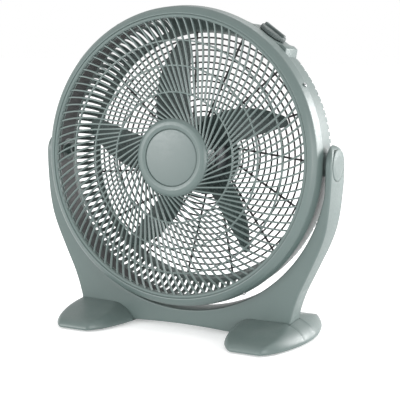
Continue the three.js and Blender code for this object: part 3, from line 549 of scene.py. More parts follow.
def lathe(profile: Sequence[Point2], segments: int, start: float = 0.0, sweep: float = 360.0) -> Skin:
    """Turns a closed profile of (radius, w) points about the w axis.

    Args:
        profile: The outline. It closes on itself, or starts and ends on the axis.
        segments: Facets around.
        start: First angle in degrees.
        sweep: How far round it goes; under 360 the two ends are capped.

    Returns:
        The points and faces.
    """
    whole = sweep >= 360
    turns = segments if whole else segments + 1
    points: list[Point3] = []
    rows: list[list[int]] = []
    for r, w in profile:
        if r < 1e-6:
            rows.append([len(points)] * turns)
            points.append((0.0, 0.0, w))
            continue
        row = []
        for i in range(turns):
            a = math.radians(start + sweep * i / segments)
            row.append(len(points))
            points.append((r * math.cos(a), r * math.sin(a), w))
        rows.append(row)
    faces: list[tuple[int, ...]] = []
    for k, row in enumerate(rows):
        after = rows[(k + 1) % len(rows)]
        for i in range(segments):
            j = (i + 1) % turns
            face = tuple(dict.fromkeys((row[i], row[j], after[j], after[i])))
            if len(face) > 2:
                faces.append(face)
    if not whole:
        faces.append(tuple(dict.fromkeys(row[0] for row in rows)))
        faces.append(tuple(dict.fromkeys(row[-1] for row in reversed(rows))))
    return points, faces


def ring_quads(count: int, spans: int) -> list[tuple[int, ...]]:
    """Joins rings of points, numbered one ring after the other.

    Args:
        count: How many points each ring has.
        spans: How many gaps between rings there are.

    Returns:
        The four-sided faces.
    """
    faces: list[tuple[int, ...]] = []
    for k in range(spans):
        for i in range(count):
            a, b = k * count + i, k * count + (i + 1) % count
            faces.append((a, b, b + count, a + count))
    return faces


def loft(rings: Sequence[Sequence[Point3]]) -> Skin:
    """Makes a closed skin through rings, with a flat cap at each end.

    Args:
        rings: Rings with as many points each.

    Returns:
        The points and faces.
    """
    count = len(rings[0])
    points = [point for ring in rings for point in ring]
    faces = ring_quads(count, len(rings) - 1)
    faces.append(tuple(reversed(range(count))))
    faces.append(tuple(range((len(rings) - 1) * count, len(rings) * count)))
    return points, faces


def prism(outline: Sequence[Point2], low: float, high: float, axis: str = "y") -> Skin:
    """An outline pushed along an axis.

    Args:
        outline: Points in the plane of the two other axes, in alphabetical order.
        low: Where it starts on the axis.
        high: Where it ends.
        axis: "x", "y" or "z".

    Returns:
        The points and faces.
    """
    place: dict[str, Callable[[Point2, float], Point3]] = {
        "x": lambda p, t: (t, p[0], p[1]),
        "y": lambda p, t: (p[0], t, p[1]),
        "z": lambda p, t: (p[0], p[1], t),
    }
    return loft([[place[axis](p, t) for p in outline] for t in (low, high)])


def merged(*skins: Skin) -> Skin:
    """Puts several skins together.

    Args:
        *skins: The skins, in the same axes.

    Returns:
        All of their points and faces.
    """
    points: list[Point3] = []
    faces: list[tuple[int, ...]] = []
    for some, those in skins:
        shift = len(points)
        points.extend(some)
        faces.extend(tuple(i + shift for i in face) for face in those)
    return points, faces


def moved(skin: Skin, matrix: Matrix) -> Skin:
    """Applies a matrix to the points of a skin."""
    return [tuple(matrix @ Vector(point)) for point in skin[0]], skin[1]


def tidy_mesh(mesh: bpy.types.Mesh, crease: float = DEFAULT_CREASE, weld: float = 1e-6) -> None:
    """Merges doubles, turns faces outward and shades the mesh smooth between creases.

    Args:
        mesh: The mesh to finish.
        crease: Edges sharper than this many degrees stay sharp.
        weld: Points closer than this, in metres, become one.
    """
    work = bmesh.new()
    work.from_mesh(mesh)
    bmesh.ops.remove_doubles(work, verts=work.verts, dist=weld)
    bmesh.ops.dissolve_degenerate(work, edges=work.edges, dist=weld / 2)
    bmesh.ops.recalc_face_normals(work, faces=work.faces)
    work.to_mesh(mesh)
    work.free()
    mesh.polygons.foreach_set("use_smooth", [True] * len(mesh.polygons))
    mesh.set_sharp_from_angle(angle=math.radians(crease))
    mesh.update()


def added(name: str, data: bpy.types.ID) -> bpy.types.Object:
    """Makes an object and links it to the scene.

    Args:
        name: The object's name.
        data: Its mesh, light or camera.

    Returns:
        The object.
    """
    thing = bpy.data.objects.new(name, data)
    bpy.context.scene.collection.objects.link(thing)
    return thing


def make_object(name: str, skin: Skin, matrix: Matrix | None = None,
                crease: float = DEFAULT_CREASE) -> bpy.types.Object:
    """Makes an object whose place is in its mesh.

    Args:
        name: The object's name.
        skin: Points in millimetres, and faces.
        matrix: Turns the skin's axes into the frame's, in millimetres.
        crease: Edges sharper than this many degrees stay sharp.

    Returns:
        The new object, linked to the scene.
    """
    mesh = bpy.data.meshes.new(name)
    mesh.from_pydata([tuple(point) for point in skin[0]], [], [tuple(face) for face in skin[1]])
    mesh.transform(Matrix.Scale(MM, 4) @ (matrix or Matrix.Identity(4)))
    tidy_mesh(mesh, crease)
    return added(name, mesh)


def apply_modifiers(piece: bpy.types.Object) -> None:
    """Turns what the modifiers make into the object's plain mesh and removes them.

    Args:
        piece: The object, whose mesh is replaced.
    """
    graph = bpy.context.evaluated_depsgraph_get()
    graph.update()
    mesh = bpy.data.meshes.new_from_object(
        piece.evaluated_get(graph), preserve_all_data_layers=True, depsgraph=graph
    )
    piece.modifiers.clear()
    old = piece.data
    piece.data = mesh
    mesh.name = piece.name
    bpy.data.meshes.remove(old)


def carve(piece: bpy.types.Object, tools: Sequence[Skin], matrix: Matrix | None = None,
          crease: float = DEFAULT_CREASE) -> None:
    """Cuts skins out of an object.

    Args:
        piece: The object to cut.
        tools: What to take away, in the axes that the matrix turns.
        matrix: The same matrix that placed the piece.
        crease: Edges sharper than this many degrees stay sharp.
    """
    for number, skin in enumerate(tools):
        tool = make_object(f"{piece.name}_cutter_{number}", skin, matrix)
        cut = piece.modifiers.new("cut", "BOOLEAN")
        cut.operation = "DIFFERENCE"
        cut.solver = "EXACT"
        cut.object = tool
        apply_modifiers(piece)
        bpy.data.objects.remove(tool)
    tidy_mesh(piece.data, crease, 2e-6)


def bevelled(piece: bpy.types.Object, width: float, segments: int = 3, angle: float = 40.0) -> None:
    """Rounds the sharp edges of an object.

    Args:
        piece: The object to work on.
        width: Width of the rounding in millimetres.
        segments: Facets across it.
        angle: Edges sharper than this many degrees are rounded.
    """
    bevel = piece.modifiers.new("bevel", "BEVEL")
    bevel.width = width * MM
    bevel.segments = segments
    bevel.limit_method = "ANGLE"
    bevel.angle_limit = math.radians(angle)
    bevel.use_clamp_overlap = True
    apply_modifiers(piece)
    tidy_mesh(piece.data)


# ---------------------------------------------------------------- node-made repeats


class RepeatTree(NodeGraph):
    """A Geometry Nodes tree with named inputs, ending in Realize Instances and Set Material."""

    def __init__(self, name: str, inputs: Sequence[tuple[str, str]]) -> None:
        """Makes the tree with its sockets.

        Args:
            name: The tree's name.
            inputs: Name and socket type of each input besides the geometry and the material.
        """
        super().__init__(bpy.data.node_groups.new(name, "GeometryNodeTree"))
        face = self.tree.interface
        face.new_socket("Geometry", in_out="INPUT", socket_type="NodeSocketGeometry")
        for label, kind in inputs:
            face.new_socket(label, in_out="INPUT", socket_type=kind)
        face.new_socket("Material", in_out="INPUT", socket_type="NodeSocketMaterial")
        face.new_socket("Geometry", in_out="OUTPUT", socket_type="NodeSocketGeometry")
        self.entry = self.tree.nodes.new("NodeGroupInput")
        self.leave = self.tree.nodes.new("NodeGroupOutput")

    def given(self, label: str) -> bpy.types.NodeSocket:
        """The socket of a named input."""
        return self.entry.outputs[label]

    def mix(self, low: object, high: object, share: object) -> bpy.types.NodeSocket:
        """The value a share of the way from low to high."""
        return self.math("MULTIPLY_ADD", self.math("SUBTRACT", high, low), share, low)

    def index_share(self, count: bpy.types.NodeSocket) -> bpy.types.NodeSocket:
        """Index over count, from 0 up to just under 1."""
        return self.math("DIVIDE", self.node("GeometryNodeInputIndex").outputs[0], count)

    def bar_section(self) -> bpy.types.NodeSocket:
        """Draws a bar's section from the Width and Depth inputs, its corners rounded.

        Returns:
            The section's curve.
        """
        flat = self.node(
            "GeometryNodeCurvePrimitiveQuadrilateral",
            {"Width": self.given("Width"), "Height": self.given("Depth")}, mode="RECTANGLE",
        )
        soft = self.node(
            "GeometryNodeFilletCurve",
            {"Curve": flat.outputs[0], "Radius": self.math("MULTIPLY", self.given("Width"), 0.32),
             "Limit Radius": True, "Count": 1},
            mode="POLY",
        )
        return soft.outputs[0]

    def sweep(self, curve: bpy.types.NodeSocket) -> bpy.types.NodeSocket:
        """Sweeps the bar's section along a curve, upright and capped.

        Args:
            curve: The line to follow.

        Returns:
            The bar's mesh.
        """
        upright = self.node("GeometryNodeSetCurveNormal", {"Curve": curve}, mode="Z_UP")
        swept = self.node(
            "GeometryNodeCurveToMesh",
            {"Curve": upright.outputs[0], "Profile Curve": self.bar_section(), "Fill Caps": True},
        )
        return swept.outputs[0]

    def around(self, instance: bpy.types.NodeSocket) -> bpy.types.NodeSocket:
        """Copies an instance about w, by the Count, Start and Sweep inputs.

        Args:
            instance: What to copy.

        Returns:
            The copies.
        """
        points = self.node("GeometryNodePoints", {"Count": self.given("Count")})
        turn = self.math("MULTIPLY_ADD", self.index_share(self.given("Count")), self.given("Sweep"),
                         self.given("Start"))
        spin = self.node("ShaderNodeCombineXYZ", {"Z": turn})
        copies = self.node(
            "GeometryNodeInstanceOnPoints",
            {"Points": points.outputs[0], "Instance": instance, "Rotation": spin.outputs[0]},
        )
        return copies.outputs[0]

    def finish(self, geometry: bpy.types.NodeSocket) -> None:
        """Closes the tree.

        Args:
            geometry: What the tree has made.
        """
        real = self.node("GeometryNodeRealizeInstances", {0: geometry})
        painted = self.node(
            "GeometryNodeSetMaterial", {"Geometry": real.outputs[0], "Material": self.given("Material")}
        )
        self.tree.links.new(painted.outputs[0], self.leave.inputs[0])

    def grow(self, name: str, matrix: Matrix, values: dict, points: Sequence[Point3] = (),
             crease: float = REPEAT_CREASE) -> bpy.types.Object:
        """Runs the tree and returns its result as a plain mesh object.

        Args:
            name: The object's name.
            matrix: Turns the tree's axes into the frame's, in millimetres.
            values: The value of each input by name, lengths in millimetres.
            points: Points for trees that read their own geometry.
            crease: Edges sharper than this many degrees stay sharp.

        Returns:
            The finished object.
        """
        mesh = bpy.data.meshes.new(name)
        mesh.from_pydata(list(points) or [(0, 0, 0)], [], [])
        piece = added(name, mesh)
        modifier = piece.modifiers.new("repeat", "NODES")
        modifier.node_group = self.tree
        for item in self.tree.interface.items_tree:
            if item.item_type == "SOCKET" and item.in_out == "INPUT" and item.name in values:
                modifier[item.identifier] = values[item.name]
        apply_modifiers(piece)
        piece.data.transform(Matrix.Scale(MM, 4) @ matrix)
        tidy_mesh(piece.data, crease)
        return piece


class Repeats:
    """The four trees that make everything that repeats on the fan."""

    def __init__(self) -> None:
        """Builds the trees."""
        self.ribs = self._swept_ribs()
        self.hoops = self._hoops()
        self.polar = self._polar_copies()
        self.placed = self._placed_copies()

    @staticmethod
    def _swept_ribs() -> RepeatTree:
        """Makes ribs that lie tangent to a circle and curl further round near the rim.

        Returns:
            The finished tree.
        """
        tree = RepeatTree("swept_ribs", [
            ("Count", "NodeSocketInt"), ("Start", "NodeSocketFloat"), ("Sweep", "NodeSocketFloat"),
            ("Inner Radius", "NodeSocketFloat"), ("Outer Radius", "NodeSocketFloat"),
            ("Tangent Radius", "NodeSocketFloat"), ("Hand", "NodeSocketFloat"),
            ("Curl Radius", "NodeSocketFloat"), ("Curl", "NodeSocketFloat"),
            ("Inner Height", "NodeSocketFloat"), ("Outer Height", "NodeSocketFloat"),
            ("Crown", "NodeSocketFloat"), ("Width", "NodeSocketFloat"), ("Depth", "NodeSocketFloat"),
            ("Steps", "NodeSocketInt"),
        ])
        line = tree.node("GeometryNodeCurvePrimitiveLine", {"End": (1, 0, 0)})
        fine = tree.node("GeometryNodeResampleCurve",
                         {"Curve": line.outputs[0], "Count": tree.given("Steps")})
        share = tree.node("GeometryNodeSplineParameter").outputs["Factor"]
        radius = tree.mix(tree.given("Inner Radius"), tree.given("Outer Radius"), share)
        lean = tree.math("ARCCOSINE", tree.math("DIVIDE", tree.given("Tangent Radius"), radius))
        reach = tree.math("SUBTRACT", tree.given("Outer Radius"), tree.given("Curl Radius"))
        past = tree.math("DIVIDE", tree.math("SUBTRACT", radius, tree.given("Curl Radius")), reach)
        curl = tree.math("MULTIPLY", tree.math("POWER", tree.math("MAXIMUM", past, 0.0), 2.2),
                         tree.given("Curl"))
        angle = tree.math("MULTIPLY", tree.math("ADD", lean, curl), tree.given("Hand"))
        arch = tree.math("SINE", tree.math("MULTIPLY", share, math.pi))
        height = tree.math("MULTIPLY_ADD", arch, tree.given("Crown"),
                           tree.mix(tree.given("Inner Height"), tree.given("Outer Height"), share))
        place = tree.node("ShaderNodeCombineXYZ", {
            "X": tree.math("MULTIPLY", radius, tree.math("COSINE", angle)),
            "Y": tree.math("MULTIPLY", radius, tree.math("SINE", angle)),
            "Z": height,
        })
        bent = tree.node("GeometryNodeSetPosition",
                         {"Geometry": fine.outputs[0], "Position": place.outputs[0]})
        tree.finish(tree.around(tree.sweep(bent.outputs[0])))
        return tree

    @staticmethod
    def _hoops() -> RepeatTree:
        """Makes rings of one section about w, each a pitch wider than the last.

        Returns:
            The finished tree.
        """
        tree = RepeatTree("hoops", [
            ("Count", "NodeSocketInt"), ("First Radius", "NodeSocketFloat"),
            ("Pitch", "NodeSocketFloat"), ("First Height", "NodeSocketFloat"),
            ("Rise", "NodeSocketFloat"), ("Width", "NodeSocketFloat"), ("Depth", "NodeSocketFloat"),
            ("Segments", "NodeSocketInt"),
        ])
        number = tree.node("GeometryNodeInputIndex").outputs[0]
        height = tree.math("MULTIPLY_ADD", number, tree.given("Rise"), tree.given("First Height"))
        lift = tree.node("ShaderNodeCombineXYZ", {"Z": height})
        points = tree.node("GeometryNodePoints",
                           {"Count": tree.given("Count"), "Position": lift.outputs[0]})
        radius = tree.math("MULTIPLY_ADD", number, tree.given("Pitch"), tree.given("First Radius"))
        size = tree.node("ShaderNodeCombineXYZ", {"X": radius, "Y": radius, "Z": 1.0})
        circle = tree.node("GeometryNodeCurvePrimitiveCircle",
                           {"Resolution": tree.given("Segments"), "Radius": 1.0}, mode="RADIUS")
        copies = tree.node("GeometryNodeInstanceOnPoints", {
            "Points": points.outputs[0], "Instance": circle.outputs[0], "Scale": size.outputs[0],
        })
        real = tree.node("GeometryNodeRealizeInstances", {0: copies.outputs[0]})
        tree.finish(tree.sweep(real.outputs[0]))
        return tree

    @staticmethod
    def _polar_copies() -> RepeatTree:
        """Copies a template about w.

        Returns:
            The finished tree.
        """
        tree = RepeatTree("polar_copies", [
            ("Template", "NodeSocketObject"), ("Count", "NodeSocketInt"),
            ("Start", "NodeSocketFloat"), ("Sweep", "NodeSocketFloat"),
        ])
        shape = tree.node("GeometryNodeObjectInfo", {"Object": tree.given("Template")})
        tree.finish(tree.around(shape.outputs["Geometry"]))
        return tree

    @staticmethod
    def _placed_copies() -> RepeatTree:
        """Copies a template to the object's own points, all turned the same way.

        Returns:
            The finished tree.
        """
        tree = RepeatTree("placed_copies", [
            ("Template", "NodeSocketObject"), ("Rotation", "NodeSocketVector"),
        ])
        shape = tree.node("GeometryNodeObjectInfo", {"Object": tree.given("Template")})
        copies = tree.node("GeometryNodeInstanceOnPoints", {
            "Points": tree.given("Geometry"), "Instance": shape.outputs["Geometry"],
            "Rotation": tree.given("Rotation"),
        })
        tree.finish(copies.outputs[0])
        return tree


@dataclass
class Workshop:
    """What every sub-assembly needs: materials, trees and the drum's axes at rest."""

    palette: Palette
    repeats: Repeats
    pivot_z: float
    tilt: float

    @property
    def drum(self) -> Matrix:
        """Turns the drum's (u, v, w) axes into the frame's, in millimetres."""
        c, s = math.cos(self.tilt), math.sin(self.tilt)
        return Matrix(((1, 0, 0, 0), (0, s, -c, 0), (0, c, s, self.pivot_z), (0, 0, 0, 1)))

    def radial(self, angle: float, w: float = 0.0) -> Matrix:
        """Axes on the drum's side: x clockwise around it, y to the rear and z outward.

        Args:
            angle: Where on the drum, in degrees from +u towards +v.
            w: How far forward the origin sits.

        Returns:
            The matrix into the frame, in millimetres.
        """
        a = math.radians(angle)
        turn = Matrix(((math.sin(a), 0, math.cos(a), 0), (-math.cos(a), 0, math.sin(a), 0),
                       (0, -1, 0, w), (0, 0, 0, 1)))
        return self.drum @ turn

    def settle(self, piece: bpy.types.Object, body: Body, slot: Slot, *nodes: str) -> bpy.types.Object:
        """Dresses a piece, hangs it on its body and names the nodes it stands for.

        Args:
            piece: The finished piece.
            body: The body that it moves with.
            slot: Its finish.
            *nodes: The plain nodes that it replaces.

        Returns:
            The piece.
        """
        piece.data.materials.clear()
        piece.data.materials.append(self.palette[slot])
        piece.data.polygons.foreach_set("material_index", [0] * len(piece.data.polygons))
        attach(piece, body.value)
        if nodes:
            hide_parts(*nodes)
        LOG.info("%s: %d faces on %s", piece.name, len(piece.data.polygons), body.value)
        return piece

    def pivot_axes(self, side: int) -> Matrix:
        """Axes of one tilt pivot, with w running outward along the tilt axis.

        Args:
            side: 1 for the right, -1 for the left.

        Returns:
            The matrix into the frame, in millimetres.
        """
        place = Matrix.Translation((0, 0, self.pivot_z)) @ Matrix.Scale(side, 4, (1, 0, 0))
        return place @ Matrix.Rotation(math.pi / 2, 4, "Y")

    def stamped(self, tree: RepeatTree, name: str, template: Skin, matrix: Matrix, values: dict,
                points: Sequence[Point3] = (), crease: float = REPEAT_CREASE) -> bpy.types.Object:
        """Runs a tree that repeats a template.

        Args:
            tree: The tree.
            name: The object's name.
            template: The shape to repeat, in millimetres.
            matrix: Turns the tree's axes into the frame's.
            values: The tree's other inputs by name.
            points: Points for a tree that reads its own geometry.
            crease: Edges sharper than this many degrees stay sharp.

        Returns:
            The object.
        """
        shape = make_object(f"{name}_template", template, Matrix.Scale(1 / MM, 4))
        piece = tree.grow(name, matrix, {"Template": shape, **values}, points, crease)
        bpy.data.objects.remove(shape)
        return piece

    def copies(self, name: str, template: Skin, matrix: Matrix, count: int, start: float,
               sweep: float, crease: float = REPEAT_CREASE) -> bpy.types.Object:
        """Repeats a template about the drum's axis, as one mesh.

        Args:
            name: The object's name.
            template: The shape to repeat, in millimetres.
            matrix: Where the axis stands.
            count: How many there are.
            start: First angle in degrees.
            sweep: How far round they are spread, in degrees.
            crease: Edges sharper than this many degrees stay sharp.

        Returns:
            The object.
        """
        values = {"Count": count, "Start": math.radians(start), "Sweep": math.radians(sweep)}
        return self.stamped(self.repeats.polar, name, template, matrix, values, crease=crease)


def joined(name: str, pieces: Sequence[bpy.types.Object]) -> bpy.types.Object:
    """Puts several plain meshes into one object.

    Args:
        name: The new object's name.
        pieces: The objects, which are removed.

    Returns:
        The new object.
    """
    work = bmesh.new()
    for piece in pieces:
        work.from_mesh(piece.data)
    mesh = bpy.data.meshes.new(name)
    work.to_mesh(mesh)
    work.free()
    for piece in pieces:
        bpy.data.objects.remove(piece)
    whole = added(name, mesh)
    tidy_mesh(mesh, 36.0, 1e-7)
    return whole


# ---------------------------------------------------------------- stand


@dataclass
class Stand:
    """The one-piece stand: a cross-beam that sweeps up into two thin pivot arms."""

    shop: Workshop
    arc_radius: float = 238.0
    arm_inner: float = 235.0
    arm_outer: float = 244.5
    arm_top: float = 29.0
    wall: float = 3.0
    front: float = 29.0
    edge_soft: float = 3.6
    inner_soft: float = 1.6
    rear_soft: float = 0.8
    head_from: float = 150.0
    head_fills: Point2 = (204.0, 214.0)
    arm_fall: float = 0.05
    fall_from: Point2 = (135.0, 40.0)
    fall_line: Point2 = (0.85, 0.53)
    fall_ease: float = 14.0
    cap_radius: float = 23.4
    cap_recess: float = 4.3
    bolt_recess: float = 2.4
    head_room: float = 10.2
    bush_room: float = 7.3
    web_places: tuple[float, ...] = (-110.0, 0.0, 110.0)
    web_half: float = 1.2
    web_rear: float = 10.0
    low_edge: tuple[Point2, ...] = (
        (0, 8), (40, 7.4), (80, 5.6), (110, 4.6), (140, 4.5), (166, 4.5), (174, 5.6), (179, 10),
        (182, 21), (183.2, 33),
    )
    side_edge: tuple[Point2, ...] = (
        (183.2, 33), (188, 52), (196, 75), (206.5, 98), (217.5, 122), (228, 146), (235.5, 168),
        (239.5, 188), (242, 210), (244, 240), (244.5, 262), (243.6, 284), (240.6, 293),
        (236.4, 298.6), (235, 299.4),
    )
    rear_table: tuple[Point2, ...] = (
        (0, 12), (50, 12), (75, 13), (100, 15), (150, 20.5), (190, 25.6), (235, 29), (270, 29),
    )

    def outer_edge(self) -> list[Point2]:
        """Draws the right outer edge.

        Returns:
            Its (x, z) points, from the arm's top down to the middle of the underside.
        """
        side = smooth_path(self.side_edge, 4)
        low = smooth_path(self.low_edge, 5)
        return list(reversed(low[:-1] + side))

    def half_depth(self, z: float) -> tuple[float, float]:
        """Finds how deep the stand is.

        Args:
            z: The height.

        Returns:
            Its front and rear y there.
        """
        above = z - self.shop.pivot_z
        if above <= 0:
            return -self.front, interpolate(self.rear_table, z)
        half = math.sqrt(max(self.arm_top ** 2 - above ** 2, 2.0))
        return -half, half

    def _stations(self) -> list[tuple[Point2, Point2]]:
        """Pairs inner and outer edge points from the arm's top to the middle.

        Returns:
            The pairs.
        """
        edge = self.outer_edge()
        knee = math.acos(self.arm_inner / self.arc_radius)
        knee_z = self.shop.pivot_z - self.arc_radius * math.sin(knee)
        arm = [point for point in edge if point[1] > knee_z]
        pairs = [((self.arm_inner, z), (x, z)) for x, z in arm]
        rest = edge[len(arm):]
        lengths = [0.0]
        for a, b in zip([arm[-1], *rest], rest):
            lengths.append(lengths[-1] + math.dist(a, b))
        for point, length in zip(rest, lengths[1:]):
            share = length / lengths[-1]
            angle = knee + (math.pi / 2 - knee) * share
            inner = (self.arc_radius * math.cos(angle),
                     self.shop.pivot_z - self.arc_radius * math.sin(angle))
            pairs.append((inner, point))
        pairs[-1] = ((0.0, self.shop.pivot_z - self.arc_radius), (0.0, edge[-1][1]))
        return pairs

    def _fall(self, x: float, z: float) -> float:
        """How far the arm's face turns back from the beam's face."""
        past = (abs(x) - self.fall_from[0]) * self.fall_line[0] - (z - self.fall_from[1]) * self.fall_line[1]
        return self.arm_fall * max(0.0, past) * smoothstep(0, self.fall_ease, past)

    def _section(self, inner: Point2, outer: Point2) -> list[Point3]:
        """Draws one closed section of the channel, open to the rear but for the arm's head.

        Args:
            inner: Its point on the inner edge, as (x, z).
            outer: Its point on the outer edge.

        Returns:
            The section's points, always as many.
        """
        span = max(0.6, math.dist(inner, outer))
        soft = min(self.edge_soft, span * 0.42)
        tight = min(self.inner_soft, span * 0.3)
        wall = min(self.wall, span * 0.3)

        def at(a: float) -> Point2:
            """The (x, z) point a distance out from the inner edge."""
            t = a / span
            return (inner[0] + (outer[0] - inner[0]) * t, inner[1] + (outer[1] - inner[1]) * t)

        def place(a: float, rear_share: float, lift: float) -> Point3:
            """A point of the outline, lifted off the front or the rear face."""
            x, z = at(a)
            y0, y1 = self.half_depth(z)
            y0 += self._fall(x, z)
            depth = max(0.4, y1 - y0)
            lift = min(lift, depth * 0.45)
            return (x, y0 + depth * rear_share + (lift if rear_share < 0.5 else -lift), z)

        ring = [place(0, 1, self.rear_soft), place(0, 0, tight)]
        for k in range(1, 4):
            a = math.radians(90 * k / 3)
            ring.append(place(tight * (1 - math.cos(a)), 0, tight * (1 - math.sin(a))))
        for k in range(1, 10):
            ring.append(place(tight + (span - tight - soft) * k / 10, 0, 0))
        for k in range(6):
            a = math.radians(90 * k / 5)
            ring.append(place(span - soft + soft * math.sin(a), 0, soft * (1 - math.cos(a))))
        ring.append(place(span, 1, self.rear_soft))
        rear_edge = min(self.rear_soft, wall * 0.3)
        ring.append(place(span - rear_edge, 1, 0))
        closed = smoothstep(*self.head_fills, inner[1]) if inner[0] > self.head_from else 0.0
        for a, on_floor in ((span - wall, False), (span - wall, True), (wall, True), (wall, False)):
            x, z = at(a)
            y0, y1 = self.half_depth(z)
            y0 += self._fall(x, z) + self.wall
            level = y0 + (y1 - y0) * closed if on_floor else y1
            ring.append((x, min(level, y1), z))
        ring.append(place(rear_edge, 1, 0))
        return ring

    def build_yoke(self) -> bpy.types.Object:
        """Makes the stand with its channel, webs and stepped pivot bores.

        Returns:
            The stand.
        """
        half = [self._section(inner, outer) for inner, outer in self._stations()]
        mirrored = [[(-x, y, z) for x, y, z in ring] for ring in reversed(half[:-1])]
        body = make_object("stand_body", loft([*half, *mirrored]))
        seat = self.arm_outer - self.cap_recess
        rim = self.cap_radius + 0.35
        bore = lathe([
            (0, self.arm_inner - 15), (self.bush_room, self.arm_inner - 15),
            (self.bush_room, seat - self.bolt_recess), (self.head_room, seat - self.bolt_recess),
            (self.head_room, seat), (rim, seat), (rim, self.arm_outer - 0.7),
            (rim + 0.7, self.arm_outer), (rim + 0.7, self.arm_outer + 9), (0, self.arm_outer + 9),
        ], 72)
        carve(body, [moved(bore, self.shop.pivot_axes(side)) for side in (1, -1)])
        pieces = [body]
        for x in self.web_places:
            top = self.shop.pivot_z - math.sqrt(self.arc_radius ** 2 - x * x) - self.wall / 2
            low = interpolate(self.low_edge, abs(x)) + self.wall / 2
            web = prism([(x - self.web_half, low), (x + self.web_half, low), (x + self.web_half, top),
                         (x - self.web_half, top)], -self.front + self.wall - 0.5, self.web_rear)
            pieces.append(make_object("web", web))
        return self.shop.settle(joined("stand_casting", pieces), Body.STAND, Slot.SHELL, "stand_yoke")

    def build_caps(self) -> None:
        """Makes the two caps that cover the pivot bolts."""
        seat = self.arm_outer - self.cap_recess + 0.3
        r = self.cap_radius
        profile = rounded([
            (0, seat + 1.6, 0), (13, seat + 1.6), (13, seat), (r - 0.4, seat),
            (r, self.arm_outer - 0.2, 0.9), (r - 1.4, self.arm_outer + 0.7, 0.8),
            (r * 0.6, self.arm_outer + 1.6, 6), (0, self.arm_outer + 2.05, 0),
        ], 0.5, 4, closed=False)
        for label, side in SIDES:
            cap = make_object(f"pivot_cover_{label}", lathe(profile, 80), self.shop.pivot_axes(side))
            self.shop.settle(cap, Body.STAND, Slot.SHELL, f"pivot_cap_{label}")


@dataclass
class Foot:
    """A domed foot: bull-nosed front and back, a soft crease and a side facet, slotted for the stand."""

    shop: Workshop
    center: float = 147.0
    base: float = 3.0
    slot_front: float = -29.3
    slot_rear: float = 12.3
    blend: float = 1.5
    seam_width: float = 1.4
    seam_depth: float = 0.9
    edge: float = 1.2
    tuck: float = 0.8
    pad_spots: Point2 = (26.0, 78.0)
    pad_seat: float = 11.3
    screw_apart: float = 9.0
    screw_hole: float = 2.3
    width_table: tuple[Point2, ...] = (
        (0, 63.5), (30, 61), (60, 54), (84, 45.5), (100, 36), (107.5, 29.5), (112, 24.0),
    )
    slope_table: tuple[Point2, ...] = (
        (0, 33.6), (24, 33), (34, 30.6), (50, 27.2), (70, 22.6), (88, 18.2), (99, 15.4), (105, 13.2),
        (109, 10.4), (111, 7.8), (112, 5.4),
    )
    side_table: tuple[Point2, ...] = (
        (0, 5.2), (0.35, 7.4), (1.2, 9.4), (3, 12.4), (6, 16.4), (12, 22.2), (20, 27.2), (30, 31.6),
        (42, 34.4), (64, 36.0),
    )

    def height(self, x: float, y: float, half: float) -> float:
        """Height of the top skin, from the slope and the side dome.

        Args:
            x: Across the foot, from its middle.
            y: Along the foot.
            half: Half of its width there.

        Returns:
            The height over the floor.
        """
        slope = interpolate(self.slope_table, abs(y))
        dome = interpolate(self.side_table, half - abs(x))
        gap = abs(slope - dome)
        low = min(slope, dome)
        if gap < self.blend:
            low -= (self.blend - gap) ** 2 / (4 * self.blend)
        seam = min(abs(y - self.slot_front), abs(y - self.slot_rear))
        if seam < self.seam_width:
            low -= self.seam_depth * (1 - seam / self.seam_width) ** 2
        return max(low, self.base + self.edge)

    def skin(self) -> Skin:
        """Makes the whole foot before it is slotted, centred on x = 0.

        Returns:
            The points and faces.
        """
        widths = smooth_path(self.width_table, 6)
        marks = {0.0, 20.0, 40.0, 50.0, 60.0, 68.0, 76.0, 84.0, 90.0, 95.0, 99.0, 102.0, 105.0, 107.0,
                 109.0, 110.2, 111.2, 111.8, 112.0}
        stations = sorted({*marks, *(-m for m in marks), -33.0, -30.7, -30.1, -29.6, -29.2, -28.0,
                           12.2, 12.6, 13.1, 13.7, 16.0, 30.0})
        shares = [math.sin(math.radians(90 * k / 16)) for k in range(17)]
        rings = []
        for y in stations:
            half = interpolate(widths, abs(y))
            row = [half * s for s in (*(-t for t in reversed(shares)), *shares[1:])]
            top = [(x, y, self.height(x, y, half)) for x in row]
            rings.append([(-half + self.tuck, y, self.base), *top, (half - self.tuck, y, self.base)])
        return loft(rings)

    def build(self, label: str, side: int) -> bpy.types.Object:
        """Makes one foot.

        Args:
            label: "left" or "right".
            side: -1 or 1.

        Returns:
            The foot.
        """
        mirror = Matrix.Scale(side, 4, (1, 0, 0))
        place = mirror @ Matrix.Translation((self.center, 0, 0))
        foot = make_object(f"foot_dome_{label}", self.skin(), place, crease=50)
        slot = [(55, 70), (55, 4.2), (172.4, 4.2), (178.4, 6.6), (180.6, 12), (183.0, 22),
                (183.9, 34), (186, 70)]
        tools = [moved(prism(slot, self.slot_front, self.slot_rear), mirror)]
        seat = lathe([(0, -2), (self.pad_seat, -2), (self.pad_seat, 4), (0, 4)], 32)
        hole = lathe([(0, -2), (self.screw_hole, -2), (self.screw_hole, 12), (0, 12)], 16)
        across, along = self.pad_spots
        for x in (-across, across):
            for y in (-along, along):
                tools.append(moved(seat, place @ Matrix.Translation((x, y, 0))))
        for x in (-self.screw_apart, self.screw_apart):
            tools.append(moved(hole, place @ Matrix.Translation((x, FOOT_SCREW_Y, 0))))
        carve(foot, tools, crease=50)
        return self.shop.settle(foot, Body.STAND, Slot.SHELL, f"foot_{label}")


# ---------------------------------------------------------------- drum shell and grilles


